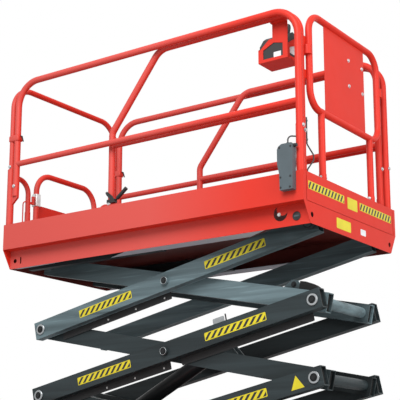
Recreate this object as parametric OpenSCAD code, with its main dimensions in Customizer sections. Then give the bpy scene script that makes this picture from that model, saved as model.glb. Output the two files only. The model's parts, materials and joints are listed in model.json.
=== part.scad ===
// Electric slab scissor lift with a roll-out deck, stored part raised
// Millimetres, +X forward, +Z up, origin on the floor under the middle of the machine

/* [Scissors] */
// Distance between the end pins of an arm
arm_length = 2044; // [1900:1:2060]
// Angle of the arms above the floor as stored
rest_angle = 11.9; // [8:0.1:16]
// Height of an arm's rectangular tube
arm_h = 110; // [90:1:112]
// Width of an arm's rectangular tube
arm_w = 60; // [50:1:62]
// Wall of an arm's tube
arm_wall = 6; // [4:0.5:8]
// Length of an arm past its end pin
arm_tail = 50; // [45:1:56]
// Length of the top arms past their front pins, inside the platform
arm_tail_top = 38; // [34:1:42]
// Machine's middle to the outer face of the outer arms
stack_half = 349; // [330:1:352]
// Gap between an outer arm and the inner arm beside it
arm_gap = 14; // [10:1:18]
// Radius of the pivot pins
pin_r = 22; // [18:0.5:24]
// Running clearance of a pin in its bore
pin_fit = 0.05; // [0.02:0.01:0.1]
// Wall of the sleeve welded round a bore
sleeve_wall = 10; // [7:1:12]
// How far a pin stands out of the outer arm
pin_proud = 5; // [2:1:6]
// Radius of the cross tubes at the arm ends
tube_r = 32; // [26:1:36]
// Radius of the slide rollers
roller_r = 26; // [22:1:28]
// Width of the slide rollers
roller_w = 34; // [26:1:40]
// Play of a roller in its track
track_play = 0.5; // [0.3:0.1:1]
// Thickness of a track's flanges and web
track_wall = 6; // [4:1:7]
// Gap between the stack and what stands beside it
side_gap = 3; // [2:0.5:6]
// Place of the fixed front pins along the machine
front_pin_x = 1072; // [1060:1:1080]
// Height of the lowest pins
base_pin_z = 430; // [425:1:445]

/* [Lift cylinder] */
// Foot of the cylinder, measured along the lowest inner arm
foot_along = 1555; // [1500:1:1600]
// Eye of the rod, measured along the middle inner arm
eye_along = 840; // [800:1:880]
// Eye of the rod above that arm's middle line
eye_above = 100; // [90:1:110]
// Bracket tube, measured along the middle inner arm
bracket_along = 700; // [680:1:710]
// Radius of the tubes that carry the cylinder
mount_tube_r = 25; // [22:0.5:27]
// Radius of the barrel
barrel_r = 47.5; // [42:0.5:52]
// Length of the barrel from its foot
barrel_l = 655; // [620:1:660]
// Wall of the barrel
barrel_wall = 9; // [6:1:11]
// Radius of the rod
rod_r = 25; // [20:0.5:28]
// Length of the rod from its eye
rod_l = 665; // [655:1:666]
// Radius of the rod's eye
eye_r = 36; // [32:1:38]
// Width of the rod's eye
eye_w = 48; // [40:1:52]
// Bore of the rod's eye
eye_bore_r = 20; // [15:0.5:22]
// Thickness of a bracket's ear
ear_t = 12; // [8:1:14]
// Gap between the eye and an ear
ear_gap = 2.5; // [2:0.5:4]

/* [Platform] */
// Length of the platform
deck_l = 2240; // [2220:1:2250]
// Width of the platform
deck_w = 1110; // [1090:1:1120]
// Front pins to the front face of the platform
deck_nose = 78; // [76:1:84]
// Thickness of the platform's plates
plate_t = 3; // [2:0.5:5]
// Thickness of the floor
floor_t = 5; // [3:0.5:6]
// Height of the toe boards above the floor
toe_h = 160; // [150:1:170]
// Depth of the skirt under the floor
skirt_h = 117; // [112:1:122]
// How far the skirt stands back under the floor's edge
skirt_back = 68; // [60:1:76]
// Top pins below the floor
pin_drop = 85; // [82:1:90]
// Guard rail's top middle line above the toe boards
rail_top = 958; // [900:1:1000]
// Guard rail's middle rail above the toe boards
rail_mid = 408; // [380:1:430]
// Radius of the rail tubes
rail_r = 21; // [18:0.5:23]
// Bend of the rails
rail_bend = 160; // [130:1:180]
// Side rails inside the platform's edge
rail_inset = 30; // [28:1:34]
// Rear posts of the side rails in front of the platform's rear edge
rear_post_in = 68; // [66:1:80]
// Posts of the rear rail in front of the platform's rear edge
end_post_in = 23; // [22.5:0.5:24]
// Front posts of the side rails behind the platform's front face
front_post_in = 34; // [32:1:40]
// Half of the space between the fixed half hoops at the entry
entry_half = 365; // [355:1:380]
// Height of the half hoops above the toe boards
hoop_h = 330; // [300:1:340]
// Half of the gate's width
gate_half = 295; // [280:1:300]
// Height of the gate above the toe boards
gate_h = 405; // [380:1:420]
// Bend of the gate's hoop
gate_bend = 130; // [100:1:140]
// Radius of the gate's tube
gate_r = 19; // [16:0.5:20]
// Top of the gate's kick plate above the toe boards
kick_top = 185; // [160:1:200]

/* [Roll-out deck] */
// Rear edge of the roll-out deck
ext_rear_x = -290; // [-300:1:-284]
// Height of the roll-out floor above the main floor
ext_rise = 10; // [8:0.5:14]
// Thickness of the roll-out floor
ext_t = 4; // [3:0.5:6]
// Running clearance of the runners on the main floor
run_gap = 0.3; // [0.2:0.1:0.6]
// Width of a runner
runner_w = 40; // [30:1:50]
// Half of the roll-out deck's width over its side plates
ext_half = 497; // [494:1:499]
// Side plates below the main toe boards' top
ext_side_drop = 10; // [6:1:20]
// Length of the raised tab at the rear post
tab_l = 128; // [110:1:140]
// Height of the raised tab above the toe boards
tab_h = 25; // [15:1:35]
// Roll-out rails from the machine's middle
ext_rail_y = 470; // [466:1:472]
// Rear posts of the roll-out rails behind the machine's middle
ext_post_back = 257; // [240:1:262]
// Height of those posts above the toe boards
ext_post_h = 490; // [470:1:520]
// Slope of the diagonals
diag_angle = 52; // [48:0.5:56]
// Bend at the top of the diagonals
diag_bend = 120; // [90:1:140]
// Front posts behind the platform's front face
ext_front_in = 52; // [48:1:56]
// Front loop behind the platform's front face
loop_in = 26; // [25:1:28]
// Half of the loop's width to the tube's middle
loop_half = 419; // [405:1:422]
// Loop's lower rail above the toe boards
loop_low = 400; // [380:1:415]
// Bend of the loop's corners
loop_bend = 110; // [90:1:130]
// Loop's posts from the machine's middle
loop_post_y = 295; // [280:1:300]
// Half of the sheet's width
sheet_half = 245; // [230:1:255]
// Thickness of the sheet
sheet_t = 3; // [2:0.5:4]
// Control guard along the machine, rear end
control_x = 806; // [795:1:815]
// Length of the control guard
control_l = 196; // [188:1:200]
// Control guard's depth into the platform
control_d = 148; // [140:1:155]
// Control guard's floor above the toe boards
control_low = 712; // [705:1:720]
// Height of the guard's outer wall
control_h = 132; // [125:1:140]
// Width of the bars left round the guard's windows
control_bar = 32; // [24:1:36]
// Height of the guard's ends on the inner side
control_back = 160; // [150:1:175]
// Thickness of the guard's sheet
guard_t = 4; // [3:0.5:5]
// Radius of the round opening in the skirt's sides
skirt_hole_r = 44; // [38:1:46]
// Height of the rail sockets above the toe boards
rail_socket_h = 60; // [40:1:80]
// Height of the side rails' front sockets above the toe boards
post_socket_h = 270; // [240:1:290]
// Height of the bracket that joins the rear posts
jog_h = 190; // [180:1:200]
// Socket box on the right toe board, middle along the machine
socket_x = 1058; // [1050:1:1062]
// Width of the socket box
socket_w = 98; // [92:1:102]
// Depth of the socket box
socket_d = 38; // [32:1:39]
// Socket box's top above the toe boards
socket_top = 152; // [145:1:160]
// Socket box's foot below the toe boards' top
socket_foot = 106; // [100:1:112]
// Radius of the cables
cable_r = 4; // [3:0.5:6]
// Length of the lock lever's long grip
lever_l = 88; // [80:1:100]
// Slope of the lock lever's grips
lever_angle = 38; // [30:1:45]

/* [Base] */
// Half of the machine's length
base_half_l = 1180; // [1170:1:1200]
// Half of the machine's width
base_half_w = 595; // [585:1:605]
// Underside of the belly
belly_low = 130; // [110:1:140]
// Top of the belly under the arms
belly_top = 345; // [335:1:348]
// Half of the belly's width
belly_half = 360; // [358:1:364]
// Half of the belly's width between the steered wheels
nose_half = 265; // [250:1:270]
// Front end of the wide belly behind the front axle
belly_front_in = 270; // [264:1:285]
// Thickness of the shelf that carries the tracks
shelf_t = 8; // [6:0.5:8]
// Fenders inside the machine's width
fender_in = 20; // [15:1:35]
// Space between a bulkhead and the fender beside it
fender_gap = 4; // [2:1:10]
// Thickness of the end plates
end_plate_t = 20; // [15:1:22]
// Height of the end plates
end_plate_h = 340; // [320:1:360]
// Ladder's depth behind the rear plate
ladder_d = 60; // [55:1:65]
// Radius of the ladder's tubes
ladder_r = 16; // [13:0.5:18]
// Half of the ladder's width
ladder_half = 170; // [150:1:190]
// Height of the ladder's top
ladder_top = 740; // [700:1:760]
// Spacing of the rungs
rung_step = 210; // [190:1:220]
// Front axle behind the machine's front end
front_axle_in = 280; // [275:1:285]
// Rear axle ahead of the machine's rear end
rear_axle_in = 300; // [290:1:310]
// Diameter of the tyres
wheel_d = 381; // [370:1:382]
// Width of the tyres
wheel_w = 127; // [115:1:128]
// Wheel's outer face inside the machine's width
wheel_inset = 5; // [3:1:8]
// Radius of the rim
rim_r = 130; // [120:1:138]
// Radius of the spindles
spindle_r = 22; // [18:0.5:25]
// Steering pins inside the wheels' inner faces
king_in = 43; // [41:1:47]
// Radius of the steering pins
king_r = 20; // [16:0.5:22]
// Half of the axle beam's width
beam_half = 34; // [30:1:35]
// Half of the steering boss's height
boss_half = 60; // [52:1:66]
// Ends of the trays from the machine's ends
tray_end_in = 680; // [675:1:700]
// Space between a tray's end and the bulkhead beside it
tray_gap = 41; // [38:1:45]
// Underside of the trays
tray_low = 150; // [145:1:160]
// Top of the trays
tray_top = 600; // [560:1:640]
// Inner face of the trays from the machine's middle
tray_in = 402; // [400:1:408]
// Wall of the trays
tray_wall = 4; // [3:0.5:6]
// Radius of the trays' hinge pins
hinge_r = 8; // [6:0.5:9]
// Pothole guards above the floor
guard_low = 25; // [20:1:40]
// Thickness of the pothole guards
pothole_t = 15; // [10:1:20]
// Battery block's rear end inside its tray
battery_rear_in = 80; // [70:1:90]
// Battery block's front end inside its tray
battery_front_in = 180; // [160:1:200]
// Height of the battery block
battery_h = 290; // [270:1:300]
// Hydraulic block's rear end inside its tray
hydraulic_rear_in = 150; // [140:1:160]
// Hydraulic block's front end inside its tray
hydraulic_front_in = 350; // [330:1:370]
// Height of the hydraulic block
hydraulic_h = 260; // [240:1:280]
// Radius of the tie-down holes in the end plates
tie_r = 18; // [14:0.5:19]
// Tie-down holes inside the fenders' edges
tie_in = 45; // [35:1:50]
// Tie-down holes above the floor
tie_z = 432; // [430:1:438]

/* [Hidden] */
$fn = 48;

red = "#e23a2e";
slate = "#4a5658";
dark = "#2b2f31";
black = "#17181a";
steel = "#b9bec2";
blue_grey = "#8794a3";

// Scissor stack
outer_y = stack_half - arm_w / 2;
inner_y = stack_half - arm_w - arm_gap - arm_w / 2;
inner_face = inner_y - arm_w / 2;
inner_out = inner_y + arm_w / 2;
pin_end = stack_half + pin_proud;
stage_rise = arm_length * sin(rest_angle);
rear_pin_x = front_pin_x - arm_length * cos(rest_angle);
top_pin_z = base_pin_z + 3 * stage_rise;
bore_r = pin_r + pin_fit;
sleeve_r = bore_r + sleeve_wall;
collar_t = arm_gap - 0.5;

// Tracks and pivot lugs beside the stack
track_in = stack_half + side_gap;
track_out = track_in + roller_w + 2 + track_wall;
roller_in = track_in + 1;
track_half_h = roller_r + track_play;
track_rear_x = -1010;
track_front_x = 80;
lug_in = track_in + 2;
lug_t = 30;
lug_end = lug_in + lug_t;
lug_r = pin_r + 10;

// Lift cylinder
foot_x = front_pin_x - foot_along * cos(rest_angle);
foot_z = base_pin_z + foot_along * sin(rest_angle);
eye_x = front_pin_x - eye_along * cos(rest_angle) + eye_above * sin(rest_angle);
eye_z = base_pin_z + stage_rise + eye_along * sin(rest_angle) + eye_above * cos(rest_angle);
cylinder_angle = atan2(eye_z - foot_z, eye_x - foot_x);
cylinder_l = norm([eye_x - foot_x, eye_z - foot_z]);
foot_r = mount_tube_r + 17;
foot_w = 60;
gland_l = 40;
ear_in = eye_w / 2 + ear_gap;
eye_offset = eye_along - bracket_along;

// Hose ears on the top inner frame
return_w = 28;
return_gap = 6;
hose_ear_along = 215;
hose_ear_l = 190;
hose_ear_h = 52;
hose_ear_t = 10;

// Platform heights and edges
floor_under = top_pin_z + pin_drop;
floor_z = floor_under + floor_t;
toe_z = floor_z + toe_h;
skirt_low = floor_under - skirt_h;
deck_front = front_pin_x + deck_nose;
deck_rear = deck_front - deck_l;
deck_half = deck_w / 2;
skirt_half = deck_half - skirt_back;
front_plate_x = deck_front - plate_t;
panel_gap = 2;
rail_y = deck_half - rail_inset;
gate_x = deck_rear + end_post_in + 8;
gate_hinge_y = -(gate_half + 32);
gate_low_z = floor_z + 30;
gate_knuckle_z = [toe_z + 20, toe_z + 195];
gate_knuckle_h = 40;
gate_knuckle_r = 10;
gate_pin_r = 5;
gate_lug_t = 14;
skirt_hole_x = 962;
skirt_hole_z = toe_z - 203;
skirt_plug_x = 1064;
skirt_small_z = toe_z - 232;

// Roll-out deck
ext_floor_z = floor_z + ext_rise + ext_t;
ext_post_z = toe_z + ext_post_h;
ext_front_x = deck_front - ext_front_in;
loop_x = deck_front - loop_in;
ext_top_z = toe_z + rail_top;
diag_run = (rail_top - ext_post_h) / tan(diag_angle);
ext_bend = rail_bend - 30;
control_wall_y = -(ext_rail_y - rail_r - 2);
clamp_y = -ext_rail_y - control_wall_y;
clamp_h = 2 * rail_r + 16;
hanger_x = 96;
unit_gap = 10;
unit_back_h = 150;
unit_crest_h = 172;
unit_crest_y = 70;
unit_step_y = 40;
unit_face_h = 96;
stick_in = 50;
stick_y = 100;
stick_r = 11;
stick_h = 90;
boot_r = 22;
boot_h = 22;
bracket_z = [560, 760];
bracket_h = 50;
bracket_t = 8;
lever_y = -ext_rail_y - 12;
socket_wall = 2;
rear_post_x = deck_rear + rear_post_in;
end_post_x = deck_rear + end_post_in;

// Base
shelf_top = base_pin_z - track_half_h - track_wall;
shelf_low = shelf_top - shelf_t;
front_face_x = base_half_l - end_plate_t;
rear_face_x = -(base_half_l - ladder_d);
front_axle_x = base_half_l - front_axle_in;
rear_axle_x = -(base_half_l - rear_axle_in);
belly_front_x = front_axle_x - belly_front_in;
fender_half = base_half_w - fender_in;
tie_y = fender_half - tie_in;
tray_half_l = base_half_l - tray_end_in;
axle_z = wheel_d / 2;
wheel_out = base_half_w - wheel_inset;
wheel_y = wheel_out - wheel_w / 2;
wheel_in = wheel_out - wheel_w;
king_y = wheel_in - king_in;
spindle_end = wheel_out - 8;
axle_tube_r = spindle_r + 12;
loose_fit = 0.2;
web_t = belly_half - track_in;
tray_out = base_half_w;
hinge_x = tray_half_l + 14;
hinge_y = tray_out - 20;
bulkhead_x = tray_half_l + tray_gap;
bulkhead_t = 15;
fender_x = bulkhead_x + bulkhead_t + fender_gap;
panel_w = 160;
panel_in = 85;
ear_low_z = tray_low + 30;
ear_high_z = tray_top - 60;
hinge_ear_t = 20;
barrel_wall_h = 5;
hinge_play = 1;

// Bent tube through points in the XY plane, with a bend radius at each inner point
// A bend that is not square gets a weld ring at each end
weld_t = 0.3;
weld_l = 6;
module bent_tube(points, bends, r, rings = false) {
    last = len(points) - 1;
    function leg_angle(i) = atan2(points[i + 1][1] - points[i][1], points[i + 1][0] - points[i][0]);
    function turn(i) = (leg_angle(i) - leg_angle(i - 1) + 540) % 360 - 180;
    function trim(i) = (i == 0 || i == last) ? 0 : bends[i - 1] * tan(abs(turn(i)) / 2);
    for (i = [0 : last - 1]) {
        a = leg_angle(i);
        run = norm(points[i + 1] - points[i]) - trim(i) - trim(i + 1);
        translate([points[i][0] + trim(i) * cos(a), points[i][1] + trim(i) * sin(a), 0])
            rotate([0, 90, a]) cylinder(r = r, h = run);
    }
    for (i = [1 : 1 : last - 1]) {
        a = leg_angle(i - 1);
        side = sign(turn(i));
        centre = [points[i][0] - trim(i) * cos(a) - side * bends[i - 1] * sin(a),
                  points[i][1] - trim(i) * sin(a) + side * bends[i - 1] * cos(a)];
        start = side > 0 ? a - 90 : a + 90 - abs(turn(i));
        translate([centre[0], centre[1], 0]) rotate([0, 0, start])
            rotate_extrude(angle = abs(turn(i))) translate([bends[i - 1], 0]) circle(r = r);
        if (rings || abs(abs(turn(i)) - 90) > 1) for (end = [-1, 1]) {
            b = leg_angle(end < 0 ? i - 1 : i);
            translate([points[i][0] + end * trim(i) * cos(b), points[i][1] + end * trim(i) * sin(b), 0])
                rotate([0, 90, b]) cylinder(r = r + weld_t, h = weld_l, center = true);
        }
    }
}

// Stands a drawing up in a lengthwise plane at y, or in a crosswise plane at x
module side_plane(y) { translate([0, y, 0]) rotate([90, 0, 0]) children(); }
module end_plane(x) { translate([x, 0, 0]) rotate([90, 0, 90]) children(); }

// Cylinder along Y between two places
module cross_bar(r, y0, y1) { translate([0, y1, 0]) rotate([90, 0, 0]) cylinder(r = r, h = y1 - y0); }

// The same thing on the right and on the left
module both_sides() { for (s = [0, 1]) mirror([0, s, 0]) children(); }

// Places a stage's arms: outer arms rise forward from the rear pins,
// inner arms rise rearward from the front pins
module outer_place(stage) {
    translate([rear_pin_x, 0, base_pin_z + (stage - 1) * stage_rise]) rotate([0, -rest_angle, 0]) children();
}
module inner_place(stage) {
    translate([front_pin_x, 0, base_pin_z + (stage - 1) * stage_rise]) rotate([0, rest_angle, 0])
        mirror([1, 0, 0]) children();
}

// Rectangular tube along X with open ends
module arm_tube(tail_0, tail_1) {
    difference() {
        translate([-tail_0, -arm_w / 2, -arm_h / 2]) cube([arm_length + tail_0 + tail_1, arm_w, arm_h]);
        translate([-tail_0 - 1, -arm_w / 2 + arm_wall, -arm_h / 2 + arm_wall])
            cube([arm_length + tail_0 + tail_1 + 2, arm_w - 2 * arm_wall, arm_h - 2 * arm_wall]);
    }
}

// Outer arm with sleeves and bores; a stub takes the place of a bore at a track or a lug
module outer_arm(bores, stub_at, stub_end, roller, tail_1) {
    translate([0, outer_y, 0]) difference() {
        union() {
            arm_tube(arm_tail, tail_1);
            for (s = bores) translate([s, 0, 0]) cross_bar(sleeve_r, -arm_w / 2, arm_w / 2);
        }
        for (s = bores) translate([s, 0, 0]) cross_bar(bore_r, -arm_w, arm_w);
    }
    for (s = stub_at) translate([s, 0, 0]) cross_bar(pin_r, outer_y - arm_w / 2 + arm_wall / 2, stub_end);
    if (roller) for (s = stub_at) translate([s, 0, 0]) cross_bar(roller_r, roller_in, roller_in + roller_w);
}

module outer_arms(stage, bores, stub_at, stub_end, roller, tail_1) {
    color(slate) outer_place(stage)
        both_sides() outer_arm(bores, stub_at, stub_end, roller, tail_1);
}

// Inner arm with its pins and collars
module inner_arm(pins, stub_at, stub_end, roller) {
    translate([0, inner_y, 0]) arm_tube(arm_tail, arm_tail);
    for (s = pins) translate([s, 0, 0]) {
        cross_bar(pin_r, inner_face + arm_wall / 2, pin_end);
        cross_bar(sleeve_r, inner_out, inner_out + collar_t);
    }
    for (s = stub_at) translate([s, 0, 0]) cross_bar(pin_r, inner_face + arm_wall / 2, stub_end);
    if (roller) for (s = stub_at) translate([s, 0, 0]) cross_bar(roller_r, roller_in, roller_in + roller_w);
}

module inner_frame(pins, stub_at, stub_end, roller) {
    both_sides() inner_arm(pins, stub_at, stub_end, roller);
    for (s = [0, arm_length]) translate([s, 0, 0]) cross_bar(tube_r, -inner_face, inner_face);
}

module outer_arms_1() {
    outer_arms(1, [arm_length / 2, arm_length], [0], roller_in + roller_w, true, arm_tail);
}
module outer_arms_2() {
    outer_arms(2, [0, arm_length / 2, arm_length], [], 0, false, arm_tail);
}
module outer_arms_3() {
    outer_arms(3, [0, arm_length / 2], [arm_length], lug_end + pin_proud, false, arm_tail_top);
}

module inner_arms_1() {
    color(slate) inner_place(1) {
        inner_frame([arm_length / 2, arm_length], [0], lug_end + pin_proud, false);
        translate([foot_along, 0, 0]) cross_bar(mount_tube_r, -inner_face, inner_face);
    }
}

module inner_arms_2() {
    color(slate) inner_place(2) {
        inner_frame([0, arm_length / 2, arm_length], [], 0, false);
        translate([bracket_along, 0, 0]) cross_bar(mount_tube_r, -inner_face, inner_face);
        both_sides() translate([bracket_along, ear_in, 0]) bracket_ear();
    }
}

// Ear from the bracket tube to the rod's eye
module bracket_ear() {
    root_r = mount_tube_r + 12;
    translate([0, ear_t, 0]) rotate([90, 0, 0]) linear_extrude(ear_t) difference() {
        union() {
            circle(r = root_r);
            translate([eye_offset, eye_above]) circle(r = eye_r);
            polygon([[-0.5 * root_r, 0.8 * root_r], [0.5 * root_r, -0.8 * root_r],
                     [eye_offset + 0.5 * eye_r, eye_above - 0.8 * eye_r],
                     [eye_offset - 0.5 * eye_r, eye_above + 0.8 * eye_r]]);
        }
        translate([eye_offset, eye_above]) circle(r = eye_bore_r);
    }
}

module inner_arms_3() {
    color(slate) inner_place(3) {
        inner_frame([0, arm_length / 2], [arm_length], roller_in + roller_w, true);
        mirror([0, 1, 0]) translate([hose_ear_along, inner_face - hose_ear_t, 0]) hose_ear();
    }
}

// Triangular ear on the front half of the top inner arms
module hose_ear() {
    rotate([90, 0, 0]) translate([-hose_ear_l / 2, 0, -hose_ear_t]) difference() {
        linear_extrude(hose_ear_t) polygon([[0, arm_h / 2 - 30], [hose_ear_l, arm_h / 2 - 30],
            [hose_ear_l / 2 + 20, arm_h / 2 + hose_ear_h], [hose_ear_l / 2 - 20, arm_h / 2 + hose_ear_h]]);
        translate([hose_ear_l / 2, arm_h / 2 + hose_ear_h / 2, -1]) cylinder(r = 14, h = hose_ear_t + 2);
    }
}

// Lift cylinder, foot at its local origin and rod along +X
module cylinder_place() { translate([foot_x, 0, foot_z]) rotate([0, -cylinder_angle, 0]) children(); }

module lift_barrel() {
    color(black) cylinder_place() difference() {
        union() {
            cross_bar(foot_r, -foot_w / 2, foot_w / 2);
            translate([foot_r - 8, 0, 0]) rotate([0, 90, 0])
                cylinder(r = barrel_r, h = barrel_l - foot_r + 8);
        }
        cross_bar(mount_tube_r + pin_fit, -foot_w, foot_w);
        translate([foot_r + 12, 0, 0]) rotate([0, 90, 0])
            cylinder(r = barrel_r - barrel_wall, h = barrel_l - gland_l - foot_r - 12);
        translate([foot_r + 12, 0, 0]) rotate([0, 90, 0]) cylinder(r = rod_r + pin_fit, h = barrel_l);
    }
}

module lift_rod() {
    color(steel) cylinder_place() difference() {
        union() {
            translate([cylinder_l - rod_l, 0, 0]) rotate([0, 90, 0]) cylinder(r = rod_r, h = rod_l);
            translate([cylinder_l, 0, 0]) cross_bar(eye_r, -eye_w / 2, eye_w / 2);
        }
        translate([cylinder_l, 0, 0]) cross_bar(eye_bore_r, -eye_w, eye_w);
    }
}

// Roller track in a C shape, open towards the stack, on one side of the machine
module track(z) {
    translate([track_rear_x, 0, z]) difference() {
        translate([0, track_in, -track_half_h - track_wall])
            cube([track_front_x - track_rear_x, track_out - track_in, 2 * (track_half_h + track_wall)]);
        translate([-1, track_in - 1, -track_half_h])
            cube([track_front_x - track_rear_x + 2, track_out - track_in - track_wall + 1, 2 * track_half_h]);
    }
}

// Lug for a fixed front pin, standing on a face at seat_z
module pivot_lug(pin_z, seat_z, r) {
    translate([front_pin_x, 0, pin_z]) difference() {
        union() {
            cross_bar(r, lug_in, lug_end);
            translate([-r, lug_in, min(0, seat_z - pin_z)]) cube([2 * r, lug_t, abs(seat_z - pin_z)]);
        }
        cross_bar(bore_r, lug_in - 1, lug_end + 1);
    }
}

// Base of the machine
module chassis_frame() {
    color(dark) {
        difference() {
            union() {
                translate([rear_face_x + end_plate_t, -belly_half, belly_low])
                    cube([belly_front_x - rear_face_x - end_plate_t, 2 * belly_half, belly_top - belly_low]);
                translate([belly_front_x, -nose_half, belly_low])
                    cube([front_face_x - belly_front_x, 2 * nose_half, belly_top - belly_low]);
            }
            translate([front_axle_x - beam_half, -nose_half - 1, axle_z - boss_half])
                cube([2 * beam_half, 2 * nose_half + 2, 2 * boss_half]);
            translate([rear_axle_x, 0, axle_z])
                cross_bar(axle_tube_r + loose_fit, -belly_half - 1, belly_half + 1);
        }
        for (x = [rear_face_x, front_face_x]) end_plate(x);
        both_sides() translate([rear_face_x + end_plate_t, track_in, belly_top])
            cube([belly_front_x - rear_face_x - end_plate_t, web_t, shelf_low - belly_top]);
    }
}

// End plate with its tie-down holes
module end_plate(x) {
    translate([x, 0, 0]) rotate([90, 0, 90]) linear_extrude(end_plate_t) difference() {
        translate([-fender_half, belly_low]) square([2 * fender_half, end_plate_h]);
        for (s = [-1, 1]) translate([s * tie_y, tie_z]) circle(r = tie_r);
    }
}

// Shelf, fenders and bulkheads beside the arms
module fenders() {
    color(dark) both_sides() {
        translate([rear_face_x + end_plate_t, track_in, shelf_low])
            cube([front_face_x - rear_face_x - end_plate_t, track_out - track_in, shelf_t]);
        for (x = [rear_face_x + end_plate_t, fender_x])
            translate([x, track_out, shelf_low])
                cube([x < 0 ? -fender_x - x : front_face_x - x, fender_half - track_out, shelf_t]);
        for (s = [-1, 1]) bulkhead(s);
        tray_hinge_ears();
    }
}

// Roller tracks and front pivot lugs on the shelf
module base_tracks() {
    color(dark) both_sides() {
        track(base_pin_z);
        pivot_lug(base_pin_z, shelf_top, lug_r);
    }
}

// Plate between a tray and a wheel
module bulkhead(s) {
    translate([s > 0 ? bulkhead_x : -bulkhead_x - bulkhead_t, belly_half, tray_low])
        cube([bulkhead_t, base_half_w - belly_half, belly_top - tray_low]);
    translate([s > 0 ? bulkhead_x : -bulkhead_x - bulkhead_t, track_out + 2, belly_top])
        cube([bulkhead_t, base_half_w - track_out - 2, tray_top - belly_top]);
}

// Two ears on the front bulkhead and the hinge pin between them
module tray_hinge_ears() {
    for (z = [ear_low_z, ear_high_z]) translate([hinge_x, hinge_y, z]) {
        cylinder(r = hinge_r + barrel_wall_h, h = hinge_ear_t);
        translate([0, -hinge_r - barrel_wall_h, 0])
            cube([bulkhead_x - hinge_x, 2 * hinge_r + barrel_wall_h, hinge_ear_t]);
    }
    translate([hinge_x, hinge_y, ear_low_z]) cylinder(r = hinge_r, h = ear_high_z - ear_low_z);
}

// Beam with a boss for each steering pin
module front_axle() {
    color(dark) translate([front_axle_x, 0, axle_z]) difference() {
        union() {
            translate([-beam_half, -king_y, -boss_half + 10])
                cube([2 * beam_half, 2 * king_y, 2 * boss_half - 20]);
            for (s = [-1, 1]) translate([0, s * king_y, -boss_half])
                cylinder(r = beam_half, h = 2 * boss_half);
        }
        for (s = [-1, 1]) translate([0, s * king_y, -boss_half - 1])
            cylinder(r = king_r + pin_fit, h = 2 * boss_half + 2);
    }
}

module rear_axle() {
    color(steel) translate([rear_axle_x, 0, axle_z]) {
        cross_bar(axle_tube_r, -wheel_in + 4, wheel_in - 4);
        cross_bar(spindle_r, -spindle_end, spindle_end);
    }
}

module ladder() {
    color(red) translate([-base_half_l + ladder_r, 0, 0]) {
        for (s = [-1, 1]) {
            translate([0, s * ladder_half, belly_low + 60])
                cylinder(r = ladder_r, h = ladder_top - belly_low - 60);
            for (z = [belly_low + 90, belly_low + end_plate_h - 40])
                translate([0, s * ladder_half, z]) rotate([0, 90, 0])
                    cylinder(r = ladder_r - 4, h = ladder_d - ladder_r);
        }
        for (i = [0 : 2]) translate([0, 0, belly_low + 110 + i * rung_step])
            cross_bar(ladder_r - 2, -ladder_half, ladder_half);
    }
}

module pothole_guards() {
    color(red) both_sides() {
        translate([-tray_half_l + 20, fender_half - pothole_t, guard_low])
            cube([2 * tray_half_l - 40, pothole_t, tray_low - 10 - guard_low]);
        for (x = [-tray_half_l + 120, tray_half_l - 120])
            translate([x - 20, belly_half - 80, belly_low - 25])
                cube([40, fender_half - pothole_t - belly_half + 80, 25]);
    }
}

module ground_panel() {
    color(dark) difference() {
        translate([rear_face_x - 32, fender_half - panel_in - panel_w, belly_low + 110])
            cube([32, panel_w, 190]);
        translate([rear_face_x - 33, fender_half - panel_in - panel_w + 15, belly_low + 125])
            cube([9, panel_w - 30, 160]);
    }
}

// Wheels
module wheel_place(x, side) { translate([x, side * wheel_y, axle_z]) rotate([-90 * side, 0, 0]) children(); }

module tyre(x, side) {
    shoulder = 14;
    color(black) wheel_place(x, side) rotate_extrude() difference() {
        union() {
            translate([rim_r + pin_fit, -wheel_w / 2 + 4])
                square([wheel_d / 2 - rim_r - pin_fit - shoulder, wheel_w - 8]);
            translate([rim_r + pin_fit, -wheel_w / 2 + shoulder])
                square([wheel_d / 2 - rim_r - pin_fit, wheel_w - 2 * shoulder]);
            for (s = [-1, 1]) translate([wheel_d / 2 - shoulder, s * (wheel_w / 2 - shoulder)])
                circle(r = shoulder);
        }
        for (s = [-1, 1]) translate([rim_r, s * (wheel_w / 2 + 9)]) circle(r = 12);
    }
}

module rim(x, side) {
    color(steel) wheel_place(x, side) difference() {
        union() {
            rotate_extrude() polygon([[spindle_r + pin_fit, -wheel_w / 2 + 12], [62, -wheel_w / 2 + 12],
                [70, -wheel_w / 2 + 40], [rim_r - 12, -wheel_w / 2 + 40], [rim_r - 12, -wheel_w / 2 + 16],
                [rim_r, -wheel_w / 2 + 16], [rim_r, wheel_w / 2 - 16], [rim_r - 12, wheel_w / 2 - 16],
                [rim_r - 12, wheel_w / 2 - 46], [70, wheel_w / 2 - 46], [58, wheel_w / 2 - 14],
                [spindle_r + pin_fit, wheel_w / 2 - 14]]);
        }
        for (i = [0 : 4]) rotate([0, 0, 72 * i]) translate([92, 0, -wheel_w])
            cylinder(r = 9, h = 2 * wheel_w);
    }
}

module tyre_fr() { tyre(front_axle_x, -1); }
module rim_fr() { rim(front_axle_x, -1); }
module tyre_fl() { tyre(front_axle_x, 1); }
module rim_fl() { rim(front_axle_x, 1); }
module tyre_rr() { tyre(rear_axle_x, -1); }
module rim_rr() { rim(rear_axle_x, -1); }
module tyre_rl() { tyre(rear_axle_x, 1); }
module rim_rl() { rim(rear_axle_x, 1); }

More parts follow.
